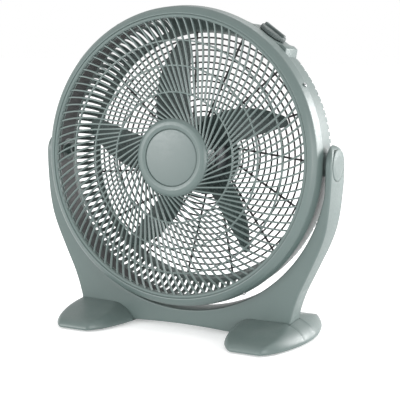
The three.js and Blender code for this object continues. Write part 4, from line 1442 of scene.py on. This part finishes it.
@dataclass
class FrontGrille:
    """Domed front guard: swept ribs on three hoops between a hub ring and a rim, with a badge."""

    shop: Workshop
    rim: float = 215.2
    hub: float = 59.4
    badge: float = 43.5
    long_ribs: int = 50
    hoop_radii: tuple[float, ...] = (99.0, 138.7, 176.7)
    tangent: float = 45.0
    hub_height: float = 55.6
    rim_height: float = 48.6
    crown: float = 1.3
    rib_width: float = 2.5
    rib_depth: float = 4.4

    def rib_height(self, radius: float) -> float:
        """Finds the height of the middle of the ribs.

        Args:
            radius: Where along the ribs.

        Returns:
            The w there.
        """
        share = (radius - self.hub + 1.2) / (self.rim - 2.5 - self.hub + 1.2)
        line = self.hub_height + (self.rim_height - self.hub_height) * share
        return line + self.crown * math.sin(math.pi * share) - self.rib_depth / 2

    def _rib_set(self, name: str, start: float, inner: float, steps: int) -> bpy.types.Object:
        """Makes half of the ribs.

        Args:
            name: The object's name.
            start: Angle of the first rib in degrees.
            inner: Radius that they start at; all run out to the rim.
            steps: Points along each rib.

        Returns:
            The ribs.
        """
        share = (inner - self.hub) / (self.rim - self.hub)
        return self.shop.repeats.ribs.grow(name, self.shop.drum, {
            "Count": self.long_ribs, "Start": math.radians(start), "Sweep": 2 * math.pi,
            "Inner Radius": inner, "Outer Radius": self.rim - 2.5, "Tangent Radius": self.tangent,
            "Hand": 1.0, "Curl Radius": self.hoop_radii[1], "Curl": math.radians(3.4),
            "Inner Height": self.rib_height(inner) if share > 0.1 else self.hub_height - 2.2,
            "Outer Height": self.rim_height - self.rib_depth / 2, "Crown": self.crown * (1 - share),
            "Width": self.rib_width, "Depth": self.rib_depth, "Steps": steps,
        })

    def build(self) -> None:
        """Makes the guard's ribs, hoops and rims, and the badge in its middle."""
        drum = self.shop.drum
        half = 180.0 / self.long_ribs
        ribs = joined("grille_ribs", [
            self._rib_set("ribs_long", 0.0, self.hub - 1.2, 14),
            self._rib_set("ribs_short", half, self.hoop_radii[0], 11),
        ])
        self.shop.settle(ribs, Body.DRUM, Slot.SHELL, "front_grille")
        rings = []
        for number, radius in enumerate(self.hoop_radii):
            rings.append(self.shop.repeats.hoops.grow(f"hoop_{number}", drum, {
                "Count": 1, "First Radius": radius, "Pitch": 0.0,
                "First Height": self.rib_height(radius) - 0.7, "Rise": 0.0, "Width": 2.4,
                "Depth": self.rib_depth, "Segments": 160,
            }))
        rim = rounded([(210.4, 44), (215.2, 44), (215.2, 50.2), (212.6, 51.1, 1.0), (210.4, 50, 0.9)],
                      0.4, 3)
        rings.append(make_object("rim_band", lathe(rim, 160), drum))
        hub = rounded([
            (43.8, 56.6, 0), (40.5, 56.6), (40.5, 55), (57, 55, 0.3), (57, 50), (59.4, 50),
            (59.4, 56.2, 3.0), (55.2, 59.9, 5.0), (49.5, 60.75, 5.0), (43.8, 59.7, 0.6),
        ], 0.35, 5)
        rings.append(make_object("hub_band", lathe(hub, 128), drum))
        self.shop.settle(joined("grille_rings", rings), Body.DRUM, Slot.SHELL, "front_grille")
        disc = rounded([
            (0, 57.0, 0), (self.badge - 0.3, 57.0, 0.2), (self.badge, 58.4, 0.5),
            (self.badge - 1.6, 59.5, 1.2), (26, 60.2, 20), (0, 60.55, 0),
        ], 0.4, 5, closed=False)
        badge = make_object("hub_disc", lathe(disc, 128), drum)
        self.shop.settle(badge, Body.DRUM, Slot.BADGE, "hub_badge")


@dataclass
class DrumShell:
    """The bezel ring in front and the housing behind, with its slotted shoulder and rear guard."""

    shop: Workshop
    radius: float = 225.0
    wall: float = 2.5
    bars: int = 116
    quiet_arc: float = 34.0
    bar_width: float = 6.4
    bar_step: float = 1.4
    rear: float = -52.0
    plate: float = 62.0
    hoop_pitch: float = 9.7
    hoops: int = 13
    spokes: int = 15

    def build_bezel(self) -> None:
        """Makes the sloped ring that clamps the guard, open for its four screws."""
        profile = rounded([
            (215.5, 51, 0.3), (217.0, 51.4, 0.5), (222.6, 48.1, 9), (226.9, 43.4, 1.2),
            (227.6, 41.6, 0.8), (230, 24, 0.6), (230, 22, 0.4), (227.4, 22, 0.5), (225.4, 38.8, 0.8),
            (220.2, 41, 0.6),
            (209.4, 41, 0.4), (209.4, 43.6, 0.4), (215.5, 43.6, 0.2),
        ], 0.5, 4)
        ring = make_object("bezel_ring", lathe(profile, 200), self.shop.drum)
        tools = []
        hole = lathe([(0, 205), (1.9, 205), (1.9, 245), (0, 245)], 16)
        for i in range(BEZEL_SCREWS):
            angle = BEZEL_SCREW_START + 360 * i / BEZEL_SCREWS
            tools.append(moved(hole, self.shop.radial(angle, BEZEL_SCREW_W)))
        carve(ring, tools)
        self.shop.settle(ring, Body.DRUM, Slot.SHELL, "front_bezel")

    def _shoulder(self) -> list[Point2]:
        """Outer (radius, w) line of the shoulder, front to back."""
        return smooth_path([(225, -18), (224.2, -27), (221.4, -35), (216, -42.6), (209, -48.8),
                            (204, -52), (199, -54.4)], 3)

    def _band(self, name: str, outer: Sequence[Point2], start: float, sweep: float,
              segments: int) -> bpy.types.Object:
        """Makes a wall of the housing.

        Args:
            name: The object's name.
            outer: Its outer (radius, w) line, front to back.
            start: First angle in degrees.
            sweep: How far round it goes, in degrees.
            segments: Facets around.

        Returns:
            The wall.
        """
        inner = []
        for k, (r, w) in enumerate(outer):
            a = Vector(outer[max(0, k - 1)])
            b = Vector(outer[min(len(outer) - 1, k + 1)])
            along = (b - a).normalized()
            inner.append((r + along.y * self.wall, w - along.x * self.wall))
        return make_object(name, lathe([*outer, *reversed(inner)], segments, start, sweep),
                           self.shop.drum)

    def _grip_cutter(self) -> Skin:
        """Makes the finger opening at the top, an oblong with round ends.

        Returns:
            What to cut out, in the drum's axes.
        """
        outline = []
        for i in range(48):
            a = 2 * math.pi * i / 48
            squash = abs(math.cos(a)) ** 0.5 if abs(math.cos(a)) > 1e-6 else 0.0
            outline.append((math.copysign(squash, math.cos(a)) * 44, -16 + 11 * math.sin(a)))
        return prism(outline, 180, 260, "y")

    def build_housing(self) -> None:
        """Makes the wall, the shoulder, its slots and the guard with its plate, and a thin black sheet of painted
        shade inside the wall.
        """
        drum = self.shop.drum
        line = self._shoulder()
        start = 90 + self.quiet_arc / 2
        front = [(self.radius + 0.8, 38), (self.radius + 0.8, 24), (self.radius, 0)]
        wall = self._band("wall", [*front, *line[:2]], 0, 360, 180)
        quiet = self._band("quiet", line[1:], 90 - self.quiet_arc / 2, self.quiet_arc, 24)
        rear_line = [point for point in line if point[1] < -50.5]
        rear_ring = self._band("rear_ring", [*rear_line, (196, -54.9), (193, -54.9)], 0, 360, 180)
        carve(wall, [self._grip_cutter()], drum)
        carve(quiet, [self._grip_cutter()], drum)
        middle = [point for point in line[1:] if point[1] > -52]
        rings = []
        for k, (r, w) in enumerate(middle):
            half = self.bar_width / 2 * (1 - 0.05 * k / len(middle))
            rings.append([(r - 0.1, -half, w), (r - 0.1, half, w), (r - self.wall, half, w),
                          (r - self.wall, -half, w)])
        bars = self.shop.copies("shoulder_bars", loft(rings), drum, self.bars, start + self.bar_step,
                                360 - self.quiet_arc - self.bar_step)
        spokes = self.shop.repeats.ribs.grow("rear_spokes", drum, {
            "Count": self.spokes, "Start": 0.2, "Sweep": 2 * math.pi,
            "Inner Radius": self.plate - 3, "Outer Radius": 195.0, "Tangent Radius": 20.0,
            "Hand": -1.0, "Curl Radius": 194.0, "Curl": 0.0, "Inner Height": self.rear + 0.4,
            "Outer Height": self.rear - 0.2, "Crown": 0.0, "Width": 3.2, "Depth": 3.6, "Steps": 8,
        })
        hoops = self.shop.repeats.hoops.grow("rear_hoops", drum, {
            "Count": self.hoops, "First Radius": self.plate + 7.0, "Pitch": self.hoop_pitch,
            "First Height": self.rear - 0.3, "Rise": 0.0, "Width": 2.6, "Depth": 3.2,
            "Segments": 120,
        })
        # Painted shade: a thin black sheet over the inside of the wall makes the drum's inside read dark.
        lining = make_object("lining", lathe([(222.4, 37.6), (222.0, 37.6), (222.0, -13.5),
                                              (222.4, -13.5)], 180), drum)
        # The rear guard takes the same black as painted shade, so it reads dark like the drum's inside.
        guard = joined("rear_guard", [spokes, hoops, lining])
        self.shop.settle(guard, Body.DRUM, Slot.BLACK, "rear_housing")
        self.shop.settle(joined("shoulder_slots", [bars]), Body.DRUM, Slot.SHELL, "rear_housing")
        plate = rounded([(0, -49.7, 0), (self.plate, -49.7), (self.plate, -54.1), (0, -54.1, 0)],
                        0.7, 3, closed=False)
        disc = make_object("plate", lathe(plate, 96), drum)
        boss = rounded([(4.4, 212), (9, 212), (9, 221), (17.6, 221), (17, 231.2, 0.8),
                        (4.4, 231.2)], 0.4, 3)
        bosses = [make_object("boss", lathe(boss, 48), self.shop.pivot_axes(side)) for side in (1, -1)]
        shell = joined("drum_shell", [wall, quiet, rear_ring, disc, *bosses])
        self.shop.settle(shell, Body.DRUM, Slot.SHELL, "rear_housing")

    def build_control_pad(self) -> None:
        """Makes the raised pad that carries the knob."""
        outline = [(-34, 218), (-30.5, 227.4), (-24, 229.2), (24, 229.2), (31, 232.0), (38.6, 231),
                   (48.4, 212), (48, 209), (30, 214), (0, 219.5), (-34, 216)]
        matrix = self.shop.radial(55.0)
        pad = make_object("control_pad", prism(outline, -19.6, 25.6, "y"), matrix)
        carve(pad, [lathe([(0, 190), (5.6, 190), (5.6, 250), (0, 250)], 32)],
              matrix @ Matrix.Translation((0, 2, 0)))
        bevelled(pad, 1.4, 3, 20)
        self.shop.settle(pad, Body.DRUM, Slot.SHELL, "rear_housing")
        ticks = []
        for step in range(4):
            angle = math.radians(-67.5 + 45 * step)
            tick = lathe([(0, 229), (0.9, 229), (0.8, 229.55), (0, 229.6)], 12)
            place = Matrix.Translation((26.5 * math.sin(angle) * 0.9, 2 - 17 * math.cos(angle) - 4, 0))
            ticks.append(moved(tick, place))
        marks = make_object("speed_marks", merged(*ticks), matrix)
        self.shop.settle(marks, Body.DRUM, Slot.BADGE)


@dataclass
class MotorCover:
    """Domed rear cover with a ring of vent slots."""

    shop: Workshop
    radius: float = 61.0
    face: float = -54.6
    depth: float = 22.0
    vents: int = 24

    def build(self) -> None:
        """Makes the cover and cuts its vents, screw wells and cable inlet."""
        y, d = self.face, self.depth
        profile = rounded([
            (56.8, y, 0.3), (60, y, 0.3), (60.9, y - 8, 3), (59.6, y - 12, 4), (54, y - d + 3, 5),
            (30, y - d + 0.8, 20), (0, y - d, 0), (0, y - d + 2, 0), (52, y - d + 5, 3),
            (57.6, y - 10, 3),
        ], 0.5, 5)
        cover = make_object("motor_dome", lathe(profile, 120), self.shop.drum)
        vent = prism([(27, -0.9), (27, 0.9), (28.2, 1.3), (44.6, 1.6), (46, 1.0), (46, -1.0),
                      (44.6, -1.6), (28.2, -1.3)], y - d - 6, y - 8, "z")
        vents = [moved(vent, Matrix.Rotation(2 * math.pi * (i + 0.5) / self.vents, 4, "Z"))
                 for i in range(self.vents)]
        wells = [moved(lathe([(0, -90), (3.7, -90), (3.7, y - d + 6.6), (2, y - d + 6.6),
                              (2, y + 3), (0, y + 3)], 24), Matrix.Translation((x, 0, 0)))
                 for x in (-52.0, 52.0)]
        inlet = moved(lathe([(0, 40), (5.3, 40), (5.3, 90), (0, 90)], 24),
                      Matrix.Translation((0, 0, -64)) @ Matrix.Rotation(math.pi / 2, 4, "X"))
        carve(cover, [merged(*vents), *wells, inlet], self.shop.drum)
        self.shop.settle(cover, Body.DRUM, Slot.SHELL, "motor_cover")


# ---------------------------------------------------------------- rotor


@dataclass
class Impeller:
    """Five twisted blades, wide at the root, on a cupped hub."""

    shop: Workshop
    blades: int = 5
    tip: float = 177.0
    hub: float = 41.0
    thickness: float = 2.4
    start: float = 18.0
    root_spread: float = 50.0
    tip_spread: float = 6.0
    root_rise: float = 28.0
    tip_rise: float = 12.0
    middle: float = 11.0
    root_camber: float = 5.0
    tip_camber: float = 1.5
    narrowing: float = 1.1
    tip_round: float = 4.0
    rounds_from: float = 0.85
    edge_share: float = 0.35
    least_half: float = 0.3

    def blade_point(self, t: float, u: float, side: int) -> Point3:
        """A point on the blade.

        Args:
            t: Share of the way from the hub to the tip.
            u: Share of the way across the blade.
            side: 1 for the front face, -1 for the rear.

        Returns:
            The point in the drum's axes.
        """
        r = self.hub - 2.5 + (self.tip - self.hub + 2.5) * t
        spread = self.root_spread * (1 - t) ** self.narrowing + self.tip_spread * t
        r -= abs(2 * u - 1) ** 4 * self.tip_round * smoothstep(self.rounds_from, 1.0, t)
        rise = self.root_rise + (self.tip_rise - self.root_rise) * t
        camber = self.root_camber + (self.tip_camber - self.root_camber) * t
        angle = math.radians(u * spread)
        fullness = math.sin(math.pi * u) ** 0.6
        half = self.thickness / 2 * (self.edge_share + (1 - self.edge_share) * fullness)
        if 0.0 < t < 1.0:
            half = max(half, self.least_half)
        w = self.middle + rise * (u - 0.5) - math.sin(math.pi * u) * camber + side * half
        return (r * math.cos(angle), r * math.sin(angle), w)

    def blade(self, along: int = 26, across: int = 22) -> Skin:
        """Makes one blade.

        Args:
            along: Spans from the hub to the tip.
            across: Spans across the blade.

        Returns:
            A closed skin in the drum's axes.
        """
        rings = []
        for i in range(along + 1):
            t = i / along
            front = [self.blade_point(t, k / across, 1) for k in range(across + 1)]
            rear = [self.blade_point(t, k / across, -1) for k in range(across, -1, -1)]
            rings.append([*front, *rear])
        count = 2 * (across + 1)
        points = [p for ring in rings for p in ring]
        faces = ring_quads(count, along)
        for base in (0, along * count):
            for i in range(across):
                faces.append((base + i, base + i + 1, base + count - 2 - i, base + count - 1 - i))
        return points, faces

    def build(self) -> None:
        """Makes the hub and the blades."""
        h = self.hub
        profile = rounded([
            (4.4, 33.9, 0.2), (13.6, 33.9, 1), (29, 32.2, 6), (h - 1.2, 26.2, 5), (h + 1.4, -6, 0.4),
            (h - 0.9, -6, 0.4), (h - 3.6, 23, 4), (28, 29.4, 3), (10, 31, 1), (10, 6, 0.3),
            (4.4, 6, 0.2),
        ], 0.5, 4)
        hub = make_object("impeller_hub", lathe(profile, 96), self.shop.drum)
        blades = self.shop.copies("impeller_blades", self.blade(), self.shop.drum, self.blades,
                                  self.start, 360.0, crease=50)
        fan = joined("fan_blades", [hub, blades])
        self.shop.settle(fan, Body.ROTOR, Slot.BLADE, "impeller")


# ---------------------------------------------------------------- controls and fasteners


@dataclass
class SpeedKnob:
    """Low round knob with a fluted rim and a grip bar."""

    shop: Workshop
    angle: float = 55.0
    radius: float = 21.5
    low: float = 230.2
    top: float = 240.0
    place_y: float = 2.0
    flutes: int = 36
    flute_depth: float = 0.32

    def build(self) -> None:
        """Makes the knob with its pointer."""
        matrix = self.shop.radial(self.angle) @ Matrix.Translation((0, self.place_y, 0))
        r, z = self.radius, self.low
        count = self.flutes * 6
        rows = [(0.0, z), (r - 0.8, z), (r, z + 0.7), (r, z + 3.9), (r - 0.5, z + 5.2),
                (r - 1.9, z + 6.0), (r - 6, z + 6.4), (0.0, z + 6.6)]
        points, faces = lathe(rows, count)
        fluted = []
        for x, y, w in points:
            reach = math.hypot(x, y)
            if reach > r - 1.2:
                dip = self.flute_depth * max(0.0, math.cos(self.flutes * math.atan2(y, x)))
                x, y = x * (reach - dip) / reach, y * (reach - dip) / reach
            fluted.append((x, y, w))
        disc = make_object("knob_disc", (fluted, faces), matrix)
        bar_line = [(-r + 2.7, -3.2), (-r + 4.2, -3.9), (r - 4.2, -3.9), (r - 2.7, -3.2),
                    (r - 2.7, 3.2), (r - 4.2, 3.9), (-r + 4.2, 3.9), (-r + 2.7, 3.2)]
        bar = make_object("knob_bar", prism(bar_line, z + 3, self.top - 0.05, "z"), matrix)
        bevelled(bar, 1.2, 3, 50)
        knob = joined("knob_cap", [disc, bar])
        self.shop.settle(knob, Body.KNOB, Slot.KNOB, "speed_knob")
        pointer = make_object("knob_pointer", prism(
            [(-r + 5, -0.55), (-r + 13, -0.55), (-r + 13, 0.55), (-r + 5, 0.55)],
            self.top - 0.4, self.top - 0.01, "z"), matrix)
        self.shop.settle(pointer, Body.KNOB, Slot.BADGE)


@dataclass
class Fasteners:
    """Screws of one pattern: a low domed head with a cross recess."""

    shop: Workshop
    recess: float = 0.36

    def screw(self, head: float, height: float, shank: float, length: float) -> Skin:
        """A screw standing on w = 0 with its head upward.

        Args:
            head: Head radius.
            height: Head height.
            shank: Shank radius.
            length: Shank length below the head.

        Returns:
            The skin.
        """
        profile = rounded([(0, -length, 0), (shank, -length, 0.2), (shank, 0, 0), (head, 0, 0.15),
                           (head, height * 0.45, 0.4), (head * 0.6, height, 1.2), (0, height, 0)],
                          0.3, 3, closed=False)
        unscaled = Matrix.Scale(1 / MM, 4)
        piece = make_object("screw_blank", lathe(profile, 28), unscaled)
        wide, thin = head * 0.52, head * 0.13
        cross = [(wide, -thin), (wide, thin), (thin, thin), (thin, wide), (-thin, wide),
                 (-thin, thin), (-wide, thin), (-wide, -thin), (-thin, -thin), (-thin, -wide),
                 (thin, -wide), (thin, -thin)]
        carve(piece, [prism(cross, height * self.recess, height + 2, "z")], unscaled)
        skin = ([tuple(v.co) for v in piece.data.vertices],
                [tuple(p.vertices) for p in piece.data.polygons])
        bpy.data.objects.remove(piece)
        return skin

    def placed(self, name: str, skin: Skin, matrix: Matrix, points: Sequence[Point3],
               rotation: Point3) -> bpy.types.Object:
        """Sets copies of a screw, all facing one way.

        Args:
            name: The object's name.
            skin: The screw.
            matrix: Turns the points' axes into the frame's.
            points: Where the heads sit.
            rotation: How each screw is turned, in radians about each axis.

        Returns:
            The screws as one object.
        """
        return self.shop.stamped(self.shop.repeats.placed, name, skin, matrix,
                                 {"Rotation": rotation}, points)

    def build(self) -> None:
        """Makes every visible set of screws."""
        drum = self.shop.drum
        sideways = moved(self.screw(3.0, 1.6, 1.6, 12), Matrix.Rotation(math.pi / 2, 4, "Y"))
        on_rim = moved(sideways, Matrix.Translation((230.3, 0, BEZEL_SCREW_W)))
        ring = self.shop.copies("bezel_fixings", on_rim, drum, BEZEL_SCREWS, BEZEL_SCREW_START, 360.0)
        self.shop.settle(ring, Body.DRUM, Slot.STEEL,
                         *[f"bezel_screw_{i + 1}" for i in range(BEZEL_SCREWS)])
        flip = (math.pi, 0.0, 0.0)
        cover = self.placed("cover_fixings", self.screw(3.3, 1.8, 1.7, 18), drum,
                            [(52, 0, -70.2), (-52, 0, -70.2)], flip)
        self.shop.settle(cover, Body.DRUM, Slot.STEEL, "cover_screw_1", "cover_screw_2")
        for label, side in SIDES:
            spots = [(side * x, FOOT_SCREW_Y, 2.7) for x in (138.0, 156.0)]
            feet = self.placed(f"foot_fixings_{label}", self.screw(3.6, 1.8, 2.0, 9),
                               Matrix.Identity(4), spots, flip)
            self.shop.settle(feet, Body.STAND, Slot.STEEL, f"foot_screw_{label}_1",
                             f"foot_screw_{label}_2")


# ---------------------------------------------------------------- studio


@dataclass
class Studio:
    """Plain pale floor, soft lights and the camera.

    Lengths here are in metres, but for the lens. A light is its name, place, target, width and watts.
    """

    camera_at: Point3 = (0.7910, -1.5386, 0.4853)
    look_along: Point3 = (-0.44236, 0.88205, -0.16218)
    lens: float = 100.955
    lights: tuple[tuple, ...] = (
        ("key_left", (-1.5, -2.3, 0.8), (0, 0, 0.25), 1.0, 44.0),
        ("fill_right", (2.2, -1.2, 0.5), (0.1, 0, 0.25), 0.9, 28.0),
        ("rim_rear", (1.5, 1.6, 0.7), (0.1, 0, 0.3), 1.0, 46.0),
        ("top", (0.0, 1.4, 2.0), (0, 0, 0.2), 1.0, 8.0),
    )
    sky: float = 1.0
    floor_glow: float = 0.3
    floor_half: float = 9.0

    def build(self) -> None:
        """Places everything."""
        far = self.floor_half
        floor_mesh = bpy.data.meshes.new("floor")
        floor_mesh.from_pydata([(-far, -far, 0), (far, -far, 0), (far, far, 0), (-far, far, 0)], [],
                               [(0, 1, 2, 3)])
        floor = added("floor", floor_mesh)
        pale = bpy.data.materials.new("studio_floor")
        pale.use_nodes = True
        shader = pale.node_tree.nodes["Principled BSDF"]
        shader.inputs["Base Color"].default_value = (0.9, 0.9, 0.9, 1)
        shader.inputs["Emission Color"].default_value = (1, 1, 1, 1)
        shader.inputs["Emission Strength"].default_value = self.floor_glow
        shader.inputs["Roughness"].default_value = 0.9
        shader.inputs["Specular IOR Level"].default_value = 0.1
        floor_mesh.materials.append(pale)
        world = bpy.data.worlds.new("studio_sky")
        bpy.context.scene.world = world
        world.use_nodes = True
        bpy.context.scene.view_settings.view_transform = "Standard"
        sky = world.node_tree.nodes["Background"]
        sky.inputs[0].default_value = (1, 1, 1, 1)
        sky.inputs[1].default_value = self.sky
        for name, place, target, size, power in self.lights:
            lamp = bpy.data.lights.new(name, "AREA")
            lamp.shape = "DISK"
            lamp.size = size
            lamp.energy = power
            holder = added(name, lamp)
            holder.location = place
            aim = Vector(target) - Vector(place)
            holder.rotation_euler = aim.to_track_quat("-Z", "Y").to_euler()
        camera = bpy.data.cameras.new("camera")
        camera.sensor_width = 36.0
        camera.lens = self.lens
        camera.clip_end = 60.0
        holder = added("camera", camera)
        holder.location = self.camera_at
        holder.rotation_euler = Vector(self.look_along).to_track_quat("-Z", "Y").to_euler()
        bpy.context.scene.camera = holder


# ---------------------------------------------------------------- whole fan


def dress_plain_nodes(palette: Palette) -> None:
    """Gives every node that is still shown the finish of its slot.

    Args:
        palette: The materials by slot.
    """
    slots = {row["node"]: Slot(row["material_slot"]) for row in frame["record"]["subparts"]}
    for name, node in frame["nodes"].items():
        if node.hide_render:
            continue
        for holder in node.material_slots:
            holder.material = palette[slots[name]]
        LOG.info("%s keeps its own mesh, dressed as %s", name, slots[name].value)


def drum_axes() -> tuple[float, float]:
    """Reads how the drum hangs at rest from the frame's joints.

    Returns:
        Height of the tilt axis in millimetres, and the drum's lean in radians.
    """
    joints = {joint["name"]: joint for joint in frame["joints"]}
    lean = math.asin(joints["fan_spin"]["axis"][2])
    return joints["tilt"]["pos_m"][2] / MM, lean


def main() -> None:
    logging.basicConfig(level=logging.INFO, format="%(message)s")
    height, lean = drum_axes()
    shop = Workshop(Palette(), Repeats(), height, lean)
    Studio().build()
    stand = Stand(shop)
    stand.build_yoke()
    stand.build_caps()
    foot = Foot(shop)
    for label, side in SIDES:
        foot.build(label, side)
    shell = DrumShell(shop)
    shell.build_bezel()
    shell.build_housing()
    shell.build_control_pad()
    FrontGrille(shop).build()
    MotorCover(shop).build()
    Impeller(shop).build()
    SpeedKnob(shop).build()
    Fasteners(shop).build()
    dress_plain_nodes(shop.palette)


if __name__ == "__main__":
    main()
